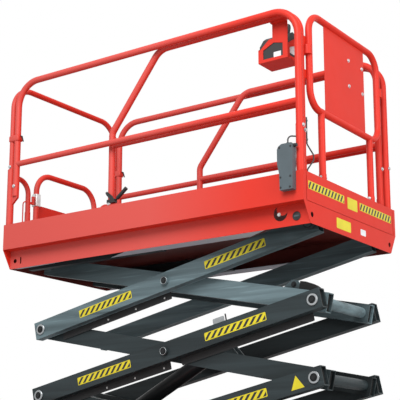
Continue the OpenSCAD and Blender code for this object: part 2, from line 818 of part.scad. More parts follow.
// Fork round the axle's boss, with the steering pin and the spindle, on the left side
module knuckle() {
    fork_t = 16;
    fork_gap = 1;
    outer_plate_in = wheel_in - 5 - fork_t;
    color(dark) translate([front_axle_x, 0, axle_z]) {
        for (s = [0, 1]) mirror([0, 0, s]) translate([0, 0, boss_half + fork_gap]) {
            translate([0, king_y, 0]) cylinder(r = beam_half, h = fork_t);
            translate([-beam_half, king_y, 0]) cube([2 * beam_half, wheel_in - 5 - king_y, fork_t]);
        }
        translate([0, king_y, -boss_half - fork_gap]) cylinder(r = king_r, h = 2 * (boss_half + fork_gap));
        difference() {
            translate([-beam_half, outer_plate_in, -boss_half - fork_gap])
                cube([2 * beam_half, fork_t, 2 * (boss_half + fork_gap)]);
            translate([0, king_y, -boss_half - 2]) cylinder(r = beam_half + 2, h = 2 * boss_half + 4);
        }
        cross_bar(spindle_r, wheel_in - 6, spindle_end);
    }
}
module knuckle_right() { mirror([0, 1, 0]) knuckle(); }
module knuckle_left() { knuckle(); }

// Swing-out tray with its cover, open towards the machine, on the left side
module tray() {
    color(red) {
        difference() {
            translate([-tray_half_l, tray_in, tray_low])
                cube([2 * tray_half_l, tray_out - tray_in, tray_top - tray_low]);
            translate([-tray_half_l + tray_wall, tray_in - 1, tray_low + tray_wall])
                cube([2 * (tray_half_l - tray_wall), tray_out - tray_in - tray_wall + 1,
                      tray_top - tray_low - 2 * tray_wall]);
        }
        difference() {
            union() {
                translate([hinge_x, hinge_y, ear_low_z + hinge_ear_t + hinge_play])
                    cylinder(r = hinge_r + barrel_wall_h,
                             h = ear_high_z - ear_low_z - hinge_ear_t - 2 * hinge_play);
                translate([tray_half_l - tray_wall, hinge_y - 6, ear_low_z + hinge_ear_t + hinge_play])
                    cube([hinge_x - tray_half_l + tray_wall, 12,
                          ear_high_z - ear_low_z - hinge_ear_t - 2 * hinge_play]);
            }
            translate([hinge_x, hinge_y, ear_low_z])
                cylinder(r = hinge_r + pin_fit, h = ear_high_z - ear_low_z);
        }
    }
}
module tray_right() { mirror([0, 1, 0]) tray(); }
module tray_left() { tray(); }

module heavy_block(x0, x1, h) {
    translate([x0, tray_in + 12, tray_low + tray_wall])
        cube([x1 - x0, tray_out - tray_in - tray_wall - 24, h]);
}
module battery_pack() {
    color(black) mirror([0, 1, 0])
        heavy_block(-tray_half_l + battery_rear_in, tray_half_l - battery_front_in, battery_h);
}
module hydraulic_unit() {
    color(steel) heavy_block(-tray_half_l + hydraulic_rear_in, tray_half_l - hydraulic_front_in, hydraulic_h);
}

// Trapezoid end plate of the skirt with a hole in each lower corner, thickness along X
module skirt_end(x) {
    translate([x, 0, 0]) rotate([90, 0, 90]) linear_extrude(plate_t) difference() {
        polygon([[-deck_half, floor_under], [-skirt_half, skirt_low], [skirt_half, skirt_low],
                 [deck_half, floor_under]]);
        for (s = [-1, 1]) translate([s * (skirt_half - 18), skirt_small_z]) circle(r = 15);
    }
}

// Side of the skirt with its openings, on the left side
module skirt_side() {
    translate([deck_rear + plate_t, skirt_half, 0]) rotate([90, 0, 0]) linear_extrude(plate_t) difference() {
        polygon([[0, skirt_low], [front_plate_x - deck_rear - plate_t, skirt_low],
                 [front_plate_x - deck_rear - plate_t, floor_under], [0, floor_under]]);
        translate([-deck_rear - plate_t, 0]) {
            difference() {
                translate([skirt_hole_x, skirt_hole_z]) circle(r = skirt_hole_r);
                translate([skirt_hole_x + 14, skirt_hole_z + 24]) circle(r = skirt_hole_r - 6);
            }
            translate([skirt_plug_x, skirt_small_z]) circle(r = 21);
            translate([deck_rear + 46, skirt_small_z]) circle(r = 14);
            translate([deck_rear + 90, skirt_small_z - 22]) square([11, 44]);
        }
    }
}

module platform_deck() {
    color(red) {
        translate([deck_rear, -deck_half + plate_t, floor_under])
            cube([front_plate_x - panel_gap - deck_rear, deck_w - 2 * plate_t, floor_t]);
        both_sides() {
            translate([deck_rear, deck_half - plate_t, floor_under])
                cube([front_plate_x + plate_t - deck_rear, plate_t, floor_t + toe_h]);
            translate([front_plate_x, deck_half - return_w, floor_under])
                cube([plate_t, return_w, floor_t + toe_h]);
            translate([deck_rear, entry_half - 30, floor_z])
                cube([plate_t, deck_half - entry_half + 30 - plate_t, toe_h]);
            skirt_side();
        }
        skirt_end(deck_rear);
        skirt_end(front_plate_x);
    }
}

module deck_tracks() {
    color(dark) both_sides() {
        track(top_pin_z);
        translate([track_rear_x, track_out - track_wall, top_pin_z])
            cube([track_front_x - track_rear_x, track_wall, pin_drop]);
        pivot_lug(top_pin_z, floor_under, lug_r);
    }
}

// Side guard rail: one bent tube from post to post, a middle rail, a socket
// and the plates to the rear corner post
module side_rail(y) {
    x1 = deck_front - front_post_in;
    foot = toe_z + jog_h;
    plate_y = 8;
    color(red) side_plane(y) {
        bent_tube([[rear_post_x, foot], [rear_post_x, toe_z + rail_top],
                   [x1, toe_z + rail_top], [x1, floor_z]], [rail_bend, rail_bend], rail_r);
        bent_tube([[rear_post_x, toe_z + rail_mid], [x1, toe_z + rail_mid]], [], rail_r - 2);
        translate([x1, floor_z]) rotate([-90, 0, 0])
            cylinder(r = rail_r + socket_wall, h = toe_h + post_socket_h);
        difference() {
            translate([0, 0, -plate_y]) linear_extrude(2 * plate_y) {
                polygon([[rear_post_x + rail_r, foot + 55], [end_post_x, foot + 55], [end_post_x, foot - 50],
                         [end_post_x + rail_r + 2, foot - 50], [rear_post_x + rail_r, foot - 12]]);
                translate([end_post_x, foot + 370]) square([rear_post_x - end_post_x, 52]);
            }
            translate([end_post_x, foot - 60]) rotate([-90, 0, 0])
                cylinder(r = rail_r - 2 + pin_fit, h = rail_top);
        }
    }
}
module rail_right() { side_rail(-rail_y); }
module rail_left() { side_rail(rail_y); }

// Rear guard rail with the fixed half hoops beside the gate and the gate's hinge pins
module rail_rear() {
    x = deck_rear + end_post_in;
    color(red) {
        end_plane(x) {
            bent_tube([[-rail_y, floor_z], [-rail_y, toe_z + rail_top], [rail_y, toe_z + rail_top],
                       [rail_y, floor_z]], [rail_bend, rail_bend], rail_r - 2);
            for (s = [-1, 1])
                bent_tube([[s * rail_y, toe_z + hoop_h], [s * entry_half, toe_z + hoop_h],
                           [s * entry_half, floor_z]], [90], gate_r - 2);
            bent_tube([[-entry_half - 45, floor_z], [-entry_half - 45, toe_z + 190],
                       [-entry_half, toe_z + 190]], [25], cable_r);
        }
        for (s = [-1, 1]) translate([x, s * entry_half, floor_z])
            cylinder(r = gate_r - 2 + socket_wall, h = toe_h + 2 * rail_socket_h);
        for (z = gate_knuckle_z) translate([gate_x, 0, z - gate_lug_t - hinge_play]) {
            translate([0, gate_hinge_y, 0]) cylinder(r = gate_knuckle_r, h = gate_lug_t);
            translate([-6, -entry_half, 0]) cube([12, entry_half + gate_hinge_y, gate_lug_t]);
            translate([0, gate_hinge_y, 0])
                cylinder(r = gate_pin_r, h = gate_lug_t + hinge_play + gate_knuckle_h);
        }
    }
}

// Gate hoop with its kick plate, hinged on the right
module gate() {
    color(red) {
        end_plane(gate_x)
            bent_tube([[-gate_half, gate_low_z], [-gate_half, toe_z + gate_h], [gate_half, toe_z + gate_h],
                       [gate_half, gate_low_z]], [gate_bend, gate_bend], gate_r);
        translate([gate_x - 2, -gate_half, gate_low_z])
            cube([4, 2 * gate_half, kick_top + toe_z - gate_low_z]);
        for (z = gate_knuckle_z) translate([gate_x, gate_hinge_y, z]) difference() {
            union() {
                cylinder(r = gate_knuckle_r, h = gate_knuckle_h);
                translate([-4, 0, 0]) cube([8, -gate_half - gate_hinge_y, gate_knuckle_h]);
            }
            translate([0, 0, -1]) cylinder(r = gate_pin_r + pin_fit, h = gate_knuckle_h + 2);
        }
    }
}

// Socket box on the outside of the right toe board
module socket_box() {
    left = -socket_w / 2;
    right = socket_w / 2;
    color(blue_grey) translate([socket_x, -deck_half, toe_z]) rotate([90, 0, 0]) linear_extrude(socket_d)
        polygon([[left + 14, -socket_foot], [right - 4, -socket_foot], [right, socket_top - 8],
                 [right - 8, socket_top], [left + 28, socket_top], [left + 8, socket_top - 12],
                 [left, socket_top - 28], [left, 43], [left + 12, -14]]);
}

// Cable from the top of the socket box to the front post
module socket_cable() {
    start_x = socket_x + 10;
    start_y = -deck_half - socket_d / 2;
    run_x = deck_front - front_post_in - start_x;
    run_y = -rail_y - start_y;
    color(black) translate([start_x, start_y, toe_z + socket_top]) {
        run = norm([run_x, run_y]) - rail_r - socket_wall - pin_fit;
        rotate([90, 0, atan2(run_y, run_x)]) bent_tube([[0, 0], [0, 46], [run, 46]], [25], cable_r, true);
        cylinder(r = cable_r + 3, h = 8);
    }
}

// Roll-out deck
module ext_deck() {
    color(red) {
        translate([ext_rear_x, -ext_half + plate_t, floor_z + ext_rise])
            cube([front_plate_x - ext_rear_x, 2 * (ext_half - plate_t), ext_t]);
        both_sides() {
            translate([ext_rear_x, ext_half - plate_t - runner_w - 10, floor_z + run_gap])
                cube([front_plate_x - 60 - ext_rear_x, runner_w, ext_rise - run_gap]);
            translate([ext_rear_x, ext_half - plate_t, floor_z + 1])
                cube([front_plate_x - ext_rear_x, plate_t, toe_h - 1 - ext_side_drop]);
            translate([ext_rear_x, ext_half - plate_t, toe_z - ext_side_drop])
                cube([tab_l, plate_t, tab_h + ext_side_drop]);
        }
        translate([front_plate_x, -deck_half + return_w + return_gap, floor_z - panel_gap])
            cube([plate_t, deck_w - 2 * (return_w + return_gap), toe_h + panel_gap]);
    }
}

// Roll-out side rail: rear post, diagonal, top rail and front post from one bent tube, with a middle rail
module ext_rail(y) {
    x0 = -ext_post_back;
    foot = ext_floor_z - toe_z;
    run = ext_front_x - x0;
    color(red) side_plane(y) translate([x0, toe_z, 0]) {
        bent_tube([[0, foot], [0, ext_post_h], [diag_run, rail_top], [run, rail_top], [run, foot]],
                  [60, diag_bend, ext_bend], rail_r);
        bent_tube([[0, rail_mid], [run, rail_mid]], [], rail_r - 2);
        for (x = [0, run]) translate([x, foot]) rotate([-90, 0, 0])
            cylinder(r = rail_r + socket_wall, h = rail_socket_h - foot);
    }
}
module ext_rail_right() { ext_rail(-ext_rail_y); }
module ext_rail_left() { ext_rail(ext_rail_y); }

// Front loop on two posts
module front_loop() {
    low = toe_z + loop_low;
    top = toe_z + rail_top;
    r = rail_r - 1;
    color(red) end_plane(loop_x) {
        bent_tube([[0, low], [loop_half, low], [loop_half, top], [-loop_half, top], [-loop_half, low],
                   [0, low]], [loop_bend, loop_bend, loop_bend, loop_bend], r);
        for (s = [-1, 1]) bent_tube([[s * loop_post_y, ext_floor_z], [s * loop_post_y, low]], [], r);
    }
    color(red) both_sides() {
        translate([loop_x, loop_post_y, ext_floor_z])
            cylinder(r = r + socket_wall, h = toe_z + 35 - ext_floor_z);
        difference() {
            for (z = bracket_z) translate([loop_x - r + 2, loop_half, toe_z + z])
                cube([bracket_t, ext_rail_y - loop_half, bracket_h]);
            translate([ext_front_x, ext_rail_y, toe_z + rail_mid])
                cylinder(r = rail_r + pin_fit, h = rail_top - rail_mid);
        }
    }
}

module front_sheet() {
    low = loop_low + rail_r - 1;
    color(red) translate([loop_x - sheet_t / 2, -sheet_half, toe_z + low])
        cube([sheet_t, 2 * sheet_half, rail_top - rail_r + 1 - low]);
}

// Sheet guard that hangs the control unit on the right roll-out rail,
// with a window in its wall and in each end
module control_guard() {
    low = toe_z + control_low;
    bar = control_bar;
    hang = rail_top - control_low;
    color(red) translate([control_x, control_wall_y, low]) {
        translate([0, guard_t, 0]) rotate([90, 0, 0]) linear_extrude(guard_t) difference() {
            polygon([[0, 0], [control_l, 0], [control_l, hang], [hanger_x, hang], [hanger_x, control_h],
                     [72, control_h], [0, control_h - 62]]);
            polygon([[bar, 18], [control_l - bar, 18], [control_l - bar, control_h - 38],
                     [hanger_x + 8, control_h - 24], [bar, control_h - 58]]);
        }
        cube([control_l, control_d, guard_t]);
        for (x = [0, control_l - guard_t]) translate([x, 0, 0]) rotate([90, 0, 90]) linear_extrude(guard_t)
            difference() {
                polygon([[0, 0], [control_d, 0], [control_d, control_back], [control_d - 30, control_back],
                         [0, control_h - 50]]);
                polygon([[bar - 8, 18], [control_d - bar + 8, 18], [control_d - bar + 8, control_back - 50],
                         [bar - 8, control_h - 66]]);
            }
        difference() {
            translate([hanger_x, clamp_y, hang - clamp_h / 2])
                cube([control_l - hanger_x, guard_t - clamp_y, clamp_h]);
            translate([-control_x, clamp_y, hang]) rotate([90, 0, 0])
                bent_tube([[control_x - 50, 0], [ext_front_x, 0], [ext_front_x, -rail_top]],
                          [ext_bend], rail_r + pin_fit);
        }
    }
}

// Control unit with a sloping top and a joystick
module control_unit() {
    unit_l = control_l - 2 * guard_t - 8;
    low = toe_z + control_low + guard_t;
    color(black) translate([control_x + guard_t + 4, control_wall_y + guard_t, low]) {
        rotate([90, 0, 90]) linear_extrude(unit_l)
            polygon([[0, 0], [control_d - unit_gap, 0], [control_d - unit_gap, unit_back_h],
                     [unit_crest_y, unit_crest_h], [unit_step_y, unit_back_h], [0, unit_face_h]]);
        translate([unit_l - stick_in, stick_y, unit_back_h]) {
            cylinder(r = boot_r, h = boot_h);
            cylinder(r = stick_r, h = stick_h);
        }
    }
}

// Cable of the control unit, tied to the right front post of the roll-out deck, with a bow
module control_cable() {
    bow = 38;
    away = rail_r + socket_wall + cable_r + 0.5;
    color(black) translate([ext_front_x, -ext_rail_y, toe_z]) rotate([90, 0, 52]) {
        bent_tube([[away, 330], [away, 175], [away + bow, 115], [away + bow, 85], [away, 30], [away, -20]],
                  [24, 24, 24, 24], cable_r);
        for (z = [200, 310]) difference() {
            translate([0, z - 5, -cable_r - 1]) cube([away + cable_r + 1, 10, 2 * cable_r + 2]);
            translate([0, z - 6, 0]) rotate([-90, 0, 0]) cylinder(r = rail_r + pin_fit, h = 12);
        }
    }
}

// Lever with a long grip that locks the roll-out deck, and its strap, on the right rear post
module lock_lever() {
    post_r = rail_r + socket_wall + pin_fit;
    strap_t = 5;
    color(black) translate([-ext_post_back, 0, toe_z]) {
        difference() {
            translate([-14, -ext_rail_y - post_r - strap_t, 36]) cube([60, post_r + strap_t, 22]);
            translate([0, -ext_rail_y, 0]) cylinder(r = post_r, h = 2 * rail_socket_h);
        }
        translate([40, lever_y, 47]) rotate([0, 90 - lever_angle, 0]) cylinder(r = 6, h = 60);
        translate([58, lever_y, 61]) rotate([0, 90 - lever_angle, 0]) cylinder(r = 12, h = lever_l);
        translate([0, -ext_rail_y - post_r, 0]) rotate([90, 0, 0]) linear_extrude(strap_t)
            polygon([[-18, 88], [-26, 104], [-14, 110], [30, 76], [44, 50], [20, 50]]);
    }
}

chassis_frame();
fenders();
base_tracks();
front_axle();
rear_axle();
ladder();
pothole_guards();
ground_panel();
tyre_fr();
rim_fr();
tyre_fl();
rim_fl();
tyre_rr();
rim_rr();
tyre_rl();
rim_rl();
knuckle_right();
knuckle_left();
tray_right();
battery_pack();
tray_left();
hydraulic_unit();
outer_arms_1();
inner_arms_1();
outer_arms_2();
inner_arms_2();
outer_arms_3();
inner_arms_3();
lift_barrel();
lift_rod();
platform_deck();
deck_tracks();
rail_right();
rail_left();
rail_rear();
socket_box();
socket_cable();
gate();
ext_deck();
ext_rail_right();
ext_rail_left();
front_loop();
front_sheet();
control_guard();
control_unit();
control_cable();
lock_lever();
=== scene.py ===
"""Looks of a red electric scissor lift with slate arms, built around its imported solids."""

import json
import math

import bmesh
import bpy
from bpy.props import FloatProperty, FloatVectorProperty, PointerProperty
from mathutils import Matrix, Vector


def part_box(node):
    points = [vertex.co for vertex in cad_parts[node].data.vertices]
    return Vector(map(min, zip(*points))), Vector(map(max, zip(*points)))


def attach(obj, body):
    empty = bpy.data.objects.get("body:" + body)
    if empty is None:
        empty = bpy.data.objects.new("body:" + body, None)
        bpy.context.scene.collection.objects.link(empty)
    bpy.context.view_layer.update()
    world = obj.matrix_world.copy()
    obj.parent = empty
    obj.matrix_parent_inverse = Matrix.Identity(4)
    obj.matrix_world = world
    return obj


bl_info = {
    "name": "Scissor Lift Dresser",
    "version": (1, 0, 0),
    "blender": (4, 5, 0),
    "location": "View3D > Sidebar > Lift",
    "description": "Paint, decals and hardware for a scissor lift",
    "category": "Object",
}

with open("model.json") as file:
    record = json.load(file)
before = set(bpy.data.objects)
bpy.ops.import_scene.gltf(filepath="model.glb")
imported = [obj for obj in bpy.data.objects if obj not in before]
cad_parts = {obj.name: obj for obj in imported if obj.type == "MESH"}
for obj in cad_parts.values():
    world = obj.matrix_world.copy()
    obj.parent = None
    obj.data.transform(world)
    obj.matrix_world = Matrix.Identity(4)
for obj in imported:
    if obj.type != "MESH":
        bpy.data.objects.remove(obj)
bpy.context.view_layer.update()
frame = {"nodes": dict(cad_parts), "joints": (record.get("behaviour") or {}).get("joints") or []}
NODES = frame["nodes"]
PIN = {joint["name"]: Vector(joint["pos_m"]) for joint in frame["joints"]}

# Sizes in metres that the solids share
ARM_WIDE = 0.060
ARM_HIGH = 0.110
ARM_WALL = 0.006
ARM_GAP = 0.014
ARM_TAIL = 0.050
TOP_TAIL = 0.038
POST_Y = 0.525
REAR_POST_X = -1.067
SIDE_POST_X = -1.022
SKIRT_Y = 0.487

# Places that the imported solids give
FRONT_X = PIN["front_1"].x
MID_X = PIN["centre_1"].x
REAR_X = 2 * MID_X - FRONT_X
LEVELS = [PIN[name].z for name in ("lift", "front_1", "front_2", "platform_pivot")]
SLOPE = math.atan2(LEVELS[1] - LEVELS[0], FRONT_X - REAR_X)
ARM_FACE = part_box("outer_arms_2")[1].y
ARM_HALF = (FRONT_X - MID_X) / math.cos(SLOPE)
OUTER_Y = ARM_FACE - ARM_WIDE / 2
INNER_Y = OUTER_Y - ARM_WIDE - ARM_GAP
DECK_LOW, DECK_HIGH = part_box("platform_deck")
DECK_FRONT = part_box("ext_deck")[1].x
DECK_REAR = DECK_LOW.x
TOE_Z = DECK_HIGH.z
FLOOR_Z = TOE_Z - 0.160
BASE_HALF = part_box("tray_left")[1].y

STAGES = (1, 2, 3)
SIDES = (-1, 1)
FORWARD = (1, 0, 0)
BACKWARD = (-1, 0, 0)
LEFT = (0, 1, 0)
RIGHT = (0, -1, 0)
UP = (0, 0, 1)

# Bolts by head radius, head height, washer radius and washer height
PIN_BOLT = (0.012, 0.004, 0.0185, 0.0015)
EAR_BOLT = (0.011, 0.008, 0.017, 0.002)
TRAY_BOLT = (0.0050, 0.0025, 0.0062, 0.0008)
BOX_SCREW = (0.0042, 0.002, 0.006, 0.001)
SKIRT_BOLT = (0.0075, 0.005, 0.0105, 0.0015)
LUG_NUT = (0.0085, 0.009, 0.011, 0.001)

# Rings by radius, width and height
BOSS_RING = (0.0218, 0.0026, 0.001)
PLUG_RING = (0.0215, 0.007, 0.003)


class PaintSettings(bpy.types.PropertyGroup):
    """Colours of the lift's finishes."""

    red: FloatVectorProperty(name="Red", description="Platform and rail paint", subtype="COLOR",
                             size=3, min=0, max=1, default=(0.62, 0.026, 0.013))
    # Paler red for the painted sheen on faces that look to the right
    sheen_red: FloatVectorProperty(name="Sheen red", description="Painted sheen on faces that look to the right",
                               subtype="COLOR", size=3, min=0, max=1, default=(0.60, 0.085, 0.071))
    slate: FloatVectorProperty(name="Slate", description="Scissor arm paint", subtype="COLOR",
                               size=3, min=0, max=1, default=(0.092, 0.130, 0.142))
    dark: FloatVectorProperty(name="Dark grey", description="Base paint", subtype="COLOR",
                              size=3, min=0, max=1, default=(0.030, 0.034, 0.037))
    yellow: FloatVectorProperty(name="Yellow", description="Hazard yellow", subtype="COLOR",
                                size=3, min=0, max=1, default=(0.68, 0.57, 0.015))
    black: FloatVectorProperty(name="Black", description="Hazard black", subtype="COLOR",
                               size=3, min=0, max=1, default=(0.012, 0.012, 0.013))
    box_grey: FloatVectorProperty(name="Box grey", description="Socket box plastic", subtype="COLOR",
                                  size=3, min=0, max=1, default=(0.065, 0.087, 0.099))


class HardwareSettings(bpy.types.PropertyGroup):
    """Sizes of the bolts, rings and decals."""

    cap_radius: FloatProperty(name="Pin cap", description="Outer radius of the caps on the pins",
                              unit="LENGTH", default=0.0340)
    cap_depth: FloatProperty(name="Cap thickness", description="Thickness of the caps on the pins",
                             unit="LENGTH", default=0.008)
    boss_depth: FloatProperty(name="Boss length", description="Length of the bosses on the centre pins",
                              unit="LENGTH", default=0.020)
    tray_drop: FloatProperty(name="Hose tray drop", description="Depth of the hose trays below the arms",
                             unit="LENGTH", default=0.042)
    bolt_head: FloatProperty(name="Bolt head", description="Radius of a small bolt's head",
                             unit="LENGTH", default=0.009)
    decal_long: FloatProperty(name="Decal length", description="Length of an arm's hazard decal",
                              unit="LENGTH", default=0.425)
    decal_high: FloatProperty(name="Decal height", description="Height of an arm's hazard decal",
                              unit="LENGTH", default=0.048)
    tread_step: FloatProperty(name="Tread pitch", description="Spacing of the floor's raised lozenges",
                              unit="LENGTH", default=0.052)


class StageSettings(bpy.types.PropertyGroup):
    """Camera and light."""

    lens: FloatProperty(name="Lens", description="Focal length on a 36 mm sensor", default=100.777)
    shift: FloatProperty(name="Shift", description="Upward shift of the view, in picture widths",
                         default=0.1074)
    key_power: FloatProperty(name="Key light", description="Power of the large soft lamp", unit="POWER",
                             default=480)
    fill_power: FloatProperty(name="Fill light", description="Power of the fill lamp", unit="POWER",
                              default=170)


def settings():
    """The scene's settings of this file."""
    scene = bpy.context.scene
    return scene.lift_paint, scene.lift_hardware, scene.lift_stage


# Nodes

class Graph:
    """Short ways to add and link the nodes of one tree."""

    def __init__(self, tree):
        self.nodes = tree.nodes
        self.links = tree.links

    def put(self, node, inputs):
        """Gives each named input a value, or a link where the value is a socket."""
        for key, value in inputs.items():
            if isinstance(value, bpy.types.NodeSocket):
                self.links.new(value, node.inputs[key])
            else:
                node.inputs[key].default_value = value

    def add(self, kind, inputs=None, **options):
        """New node with its options set before its inputs."""
        node = self.nodes.new(kind)
        for key, value in options.items():
            setattr(node, key, value)
        self.put(node, inputs or {})
        return node

    def calc(self, operation, *values):
        """Result of a Math node."""
        return self.add("ShaderNodeMath", dict(enumerate(values)), operation=operation).outputs["Value"]

    def axes(self, source):
        """X, Y and Z of a vector, by name."""
        return self.add("ShaderNodeSeparateXYZ", {"Vector": source}).outputs

    def coords(self, kind="Object"):
        """Texture coordinates of a kind."""
        return self.add("ShaderNodeTexCoord").outputs[kind]

    def mapped(self, source, low, high, start=0.0, stop=1.0):
        """Takes a value from the range start to stop into the range low to high."""
        node = self.add("ShaderNodeMapRange", {"Value": source, "From Min": start, "From Max": stop,
                                               "To Min": low, "To Max": high})
        return node.outputs["Result"]

    def mix(self, factor, first, second):
        """Blend of two colours."""
        node = self.add("ShaderNodeMix", {"Factor": factor, "A": first, "B": second}, data_type="RGBA")
        return node.outputs["Result"]

    def noise(self, scale, detail, stretch=(1, 1, 1), turn=(0, 0, 0)):
        """Noise on object coordinates, stretched and turned."""
        mapping = self.add("ShaderNodeMapping", {"Vector": self.coords(), "Scale": stretch, "Rotation": turn})
        node = self.add("ShaderNodeTexNoise", {"Vector": mapping.outputs["Vector"], "Scale": scale,
                                               "Detail": detail})
        return node.outputs["Fac"]

    def ramp(self, source, stops, interpolation="LINEAR"):
        """Colour ramp with (place, colour) stops."""
        node = self.add("ShaderNodeValToRGB", {"Fac": source})
        node.color_ramp.interpolation = interpolation
        elements = node.color_ramp.elements
        while len(elements) < len(stops):
            elements.new(0.5)
        for element, (place, colour) in zip(elements, stops):
            element.position = place
            element.color = (*colour, 1.0)
        return node.outputs["Color"]

    def bump(self, source, strength, distance):
        """Normal of a height value."""
        node = self.add("ShaderNodeBump", {"Strength": strength, "Distance": distance, "Height": source})
        return node.outputs["Normal"]


# Materials

MATERIALS = {}


def new_material(name):
    """Node material with its graph and its Principled shader."""
    material = bpy.data.materials.new(name)
    material.use_nodes = True
    graph = Graph(material.node_tree)
    return material, graph, graph.nodes["Principled BSDF"]


def shade(colour, factor):
    """A colour made lighter or darker."""
    return tuple(min(1.0, c * factor) for c in colour)


def paint(name, colour, roughness=0.38, coat=0.02, dust=0.05, sheen_red=None, below=False):
    """Sprayed paint with slight mottling, orange peel and uneven gloss, with a painted sheen on right-facing
    faces and painted shade below the floor where asked.
    """
    material, graph, shader = new_material(name)
    tones = [(0.30, shade(colour, 1 - dust)), (0.70, shade(colour, 1 + dust))]
    tint = graph.ramp(graph.noise(2.6, 4.0), tones)
    # Painted sheen on faces that look to the right
    if sheen_red is not None:
        tint = paint_sheen(graph, tint, sheen_red)
    # Painted shade in the hollow below the floor
    if below:
        tint = under_shade(graph, tint)
    gloss = graph.mapped(graph.noise(14.0, 5.0), roughness - 0.06, roughness + 0.08)
    peel = graph.bump(graph.noise(420.0, 1.0), 0.10, 0.0006)
    graph.put(shader, {"Base Color": tint, "Roughness": gloss, "Normal": peel, "Specular IOR Level": 0.14,
                       "Coat Weight": coat, "Coat Roughness": 0.20})
    return material


def paint_sheen(graph, tint, sheen_red):
    """Painted sheen: mixes a paler red into faces that look to the right, less towards the front."""
    turn = graph.calc("MULTIPLY", graph.axes(graph.coords("Normal"))["Y"], -1.0)
    along = graph.mapped(graph.axes(graph.coords())["X"], 1.0, 0.20, 0.10, 0.80)
    sunny = graph.calc("MAXIMUM", turn, 0.0)
    return graph.mix(graph.calc("MULTIPLY", sunny, along), tint, (*sheen_red, 1))


def under_shade(graph, tint):
    """Painted shade: dark red mixed into the hollow below the floor."""
    # Colour of the painted shade under the deck
    painted_shading = (0.160, 0.030, 0.025, 1)
    edge = 0.002
    place = graph.axes(graph.coords())
    inside = graph.calc("LESS_THAN", graph.calc("ABSOLUTE", place["Y"]), SKIRT_Y - 0.0015)
    low = graph.calc("LESS_THAN", place["Z"], FLOOR_Z - 0.0045)
    back = graph.calc("GREATER_THAN", place["X"], DECK_REAR + edge)
    front = graph.calc("LESS_THAN", place["X"], DECK_FRONT - edge)
    hollow = graph.calc("MULTIPLY", graph.calc("MULTIPLY", inside, low), graph.calc("MULTIPLY", back, front))
    return graph.mix(hollow, tint, painted_shading)


def arm_paint(name, colour, turn, inward, inward_shading, rear_light=1.0, front_light=1.0):
    """Slate arm paint with lengthwise stains and pale rub marks, with painted shading on the inward faces and
    painted shadow towards the ends where asked.
    """
    material, graph, shader = new_material(name)
    along = (0, turn, 0)
    stain = graph.noise(2.4, 5.0, (0.35, 3.0, 9.0), along)
    tint = graph.ramp(stain, [(0.30, shade(colour, 0.58)), (0.50, colour), (0.70, shade(colour, 1.40))])
    rub = graph.noise(16.0, 6.0, (0.22, 3.0, 4.0), along)
    tint = graph.mix(graph.mapped(rub, 0.0, 0.55, 0.60, 0.78), tint, (*shade(colour, 2.2), 1))
    place = graph.axes(graph.coords())
    width = graph.calc("ABSOLUTE", place["Y"])
    # Painted shading on the inward faces: the colour is scaled by the given factor, darker below 1 and
    # lighter above 1
    painted_shading = graph.mapped(width, inward_shading, 1.0, inward + 0.004, inward + 0.022)
    # Faces between the arms, such as the cross tube, are left out of the painted shading
    between = graph.calc("LESS_THAN", width, inward - 0.001)
    # Painted shadow of the deck: darker towards the rear end by rear_light and towards the front end by
    # front_light
    rear = graph.mapped(place["X"], rear_light, 1.0, REAR_X + 0.20, MID_X - 0.20)
    front = graph.mapped(place["X"], 1.0, front_light, MID_X + 0.20, FRONT_X - 0.10)
    light = graph.calc("MULTIPLY", graph.calc("MAXIMUM", painted_shading, between), graph.calc("MULTIPLY", rear, front))
    dim = graph.add("ShaderNodeVectorMath", {0: tint, "Scale": light}, operation="SCALE")
    peel = graph.bump(graph.noise(380.0, 1.0), 0.12, 0.0006)
    graph.put(shader, {"Base Color": dim.outputs["Vector"], "Roughness": graph.mapped(rub, 0.34, 0.58),
                       "Normal": peel, "Specular IOR Level": 0.26})
    return material


def grained(name, tones, cloud, fine, roughness, bump, metallic):
    """Material with cloudy tones, and a fine grain in its gloss and its surface."""
    material, graph, shader = new_material(name)
    grain = graph.noise(*fine)
    graph.put(shader, {"Base Color": graph.ramp(graph.noise(*cloud), tones), "Metallic": metallic,
                       "Roughness": graph.mapped(grain, roughness - 0.08, roughness + 0.10),
                       "Normal": graph.bump(grain, *bump)})
    return material


def metal(name, colour, roughness):
    """Plated or brushed steel."""
    tones = [(0.25, shade(colour, 0.82)), (0.75, shade(colour, 1.08))]
    return grained(name, tones, (30.0, 4.0), (160.0, 3.0), roughness, (0.06, 0.0004), 1.0)


def plastic(name, colour, roughness, pebble=0.25):
    """Moulded plastic, rubber or film."""
    tones = [(0.3, shade(colour, 0.88)), (0.7, shade(colour, 1.10))]
    return grained(name, tones, (9.0, 3.0), (700.0, 2.0), roughness, (pebble, 0.0005), 0.0)


def hazard(name, yellow, black, pitch, slant):
    """Slanted black stripes on yellow film, along the piece's own UV map in metres."""
    material, graph, shader = new_material(name)
    uv = graph.axes(graph.add("ShaderNodeUVMap", uv_map="UVMap").outputs["UV"])
    lean = graph.calc("MULTIPLY_ADD", uv["Y"], slant, uv["X"])
    part = graph.calc("FRACT", graph.calc("DIVIDE", lean, pitch))
    stripes = graph.ramp(part, [(0.0, yellow), (0.52, black)], "CONSTANT")
    graph.put(shader, {"Base Color": stripes, "Roughness": graph.mapped(graph.noise(60.0, 3.0), 0.34, 0.52)})
    return material


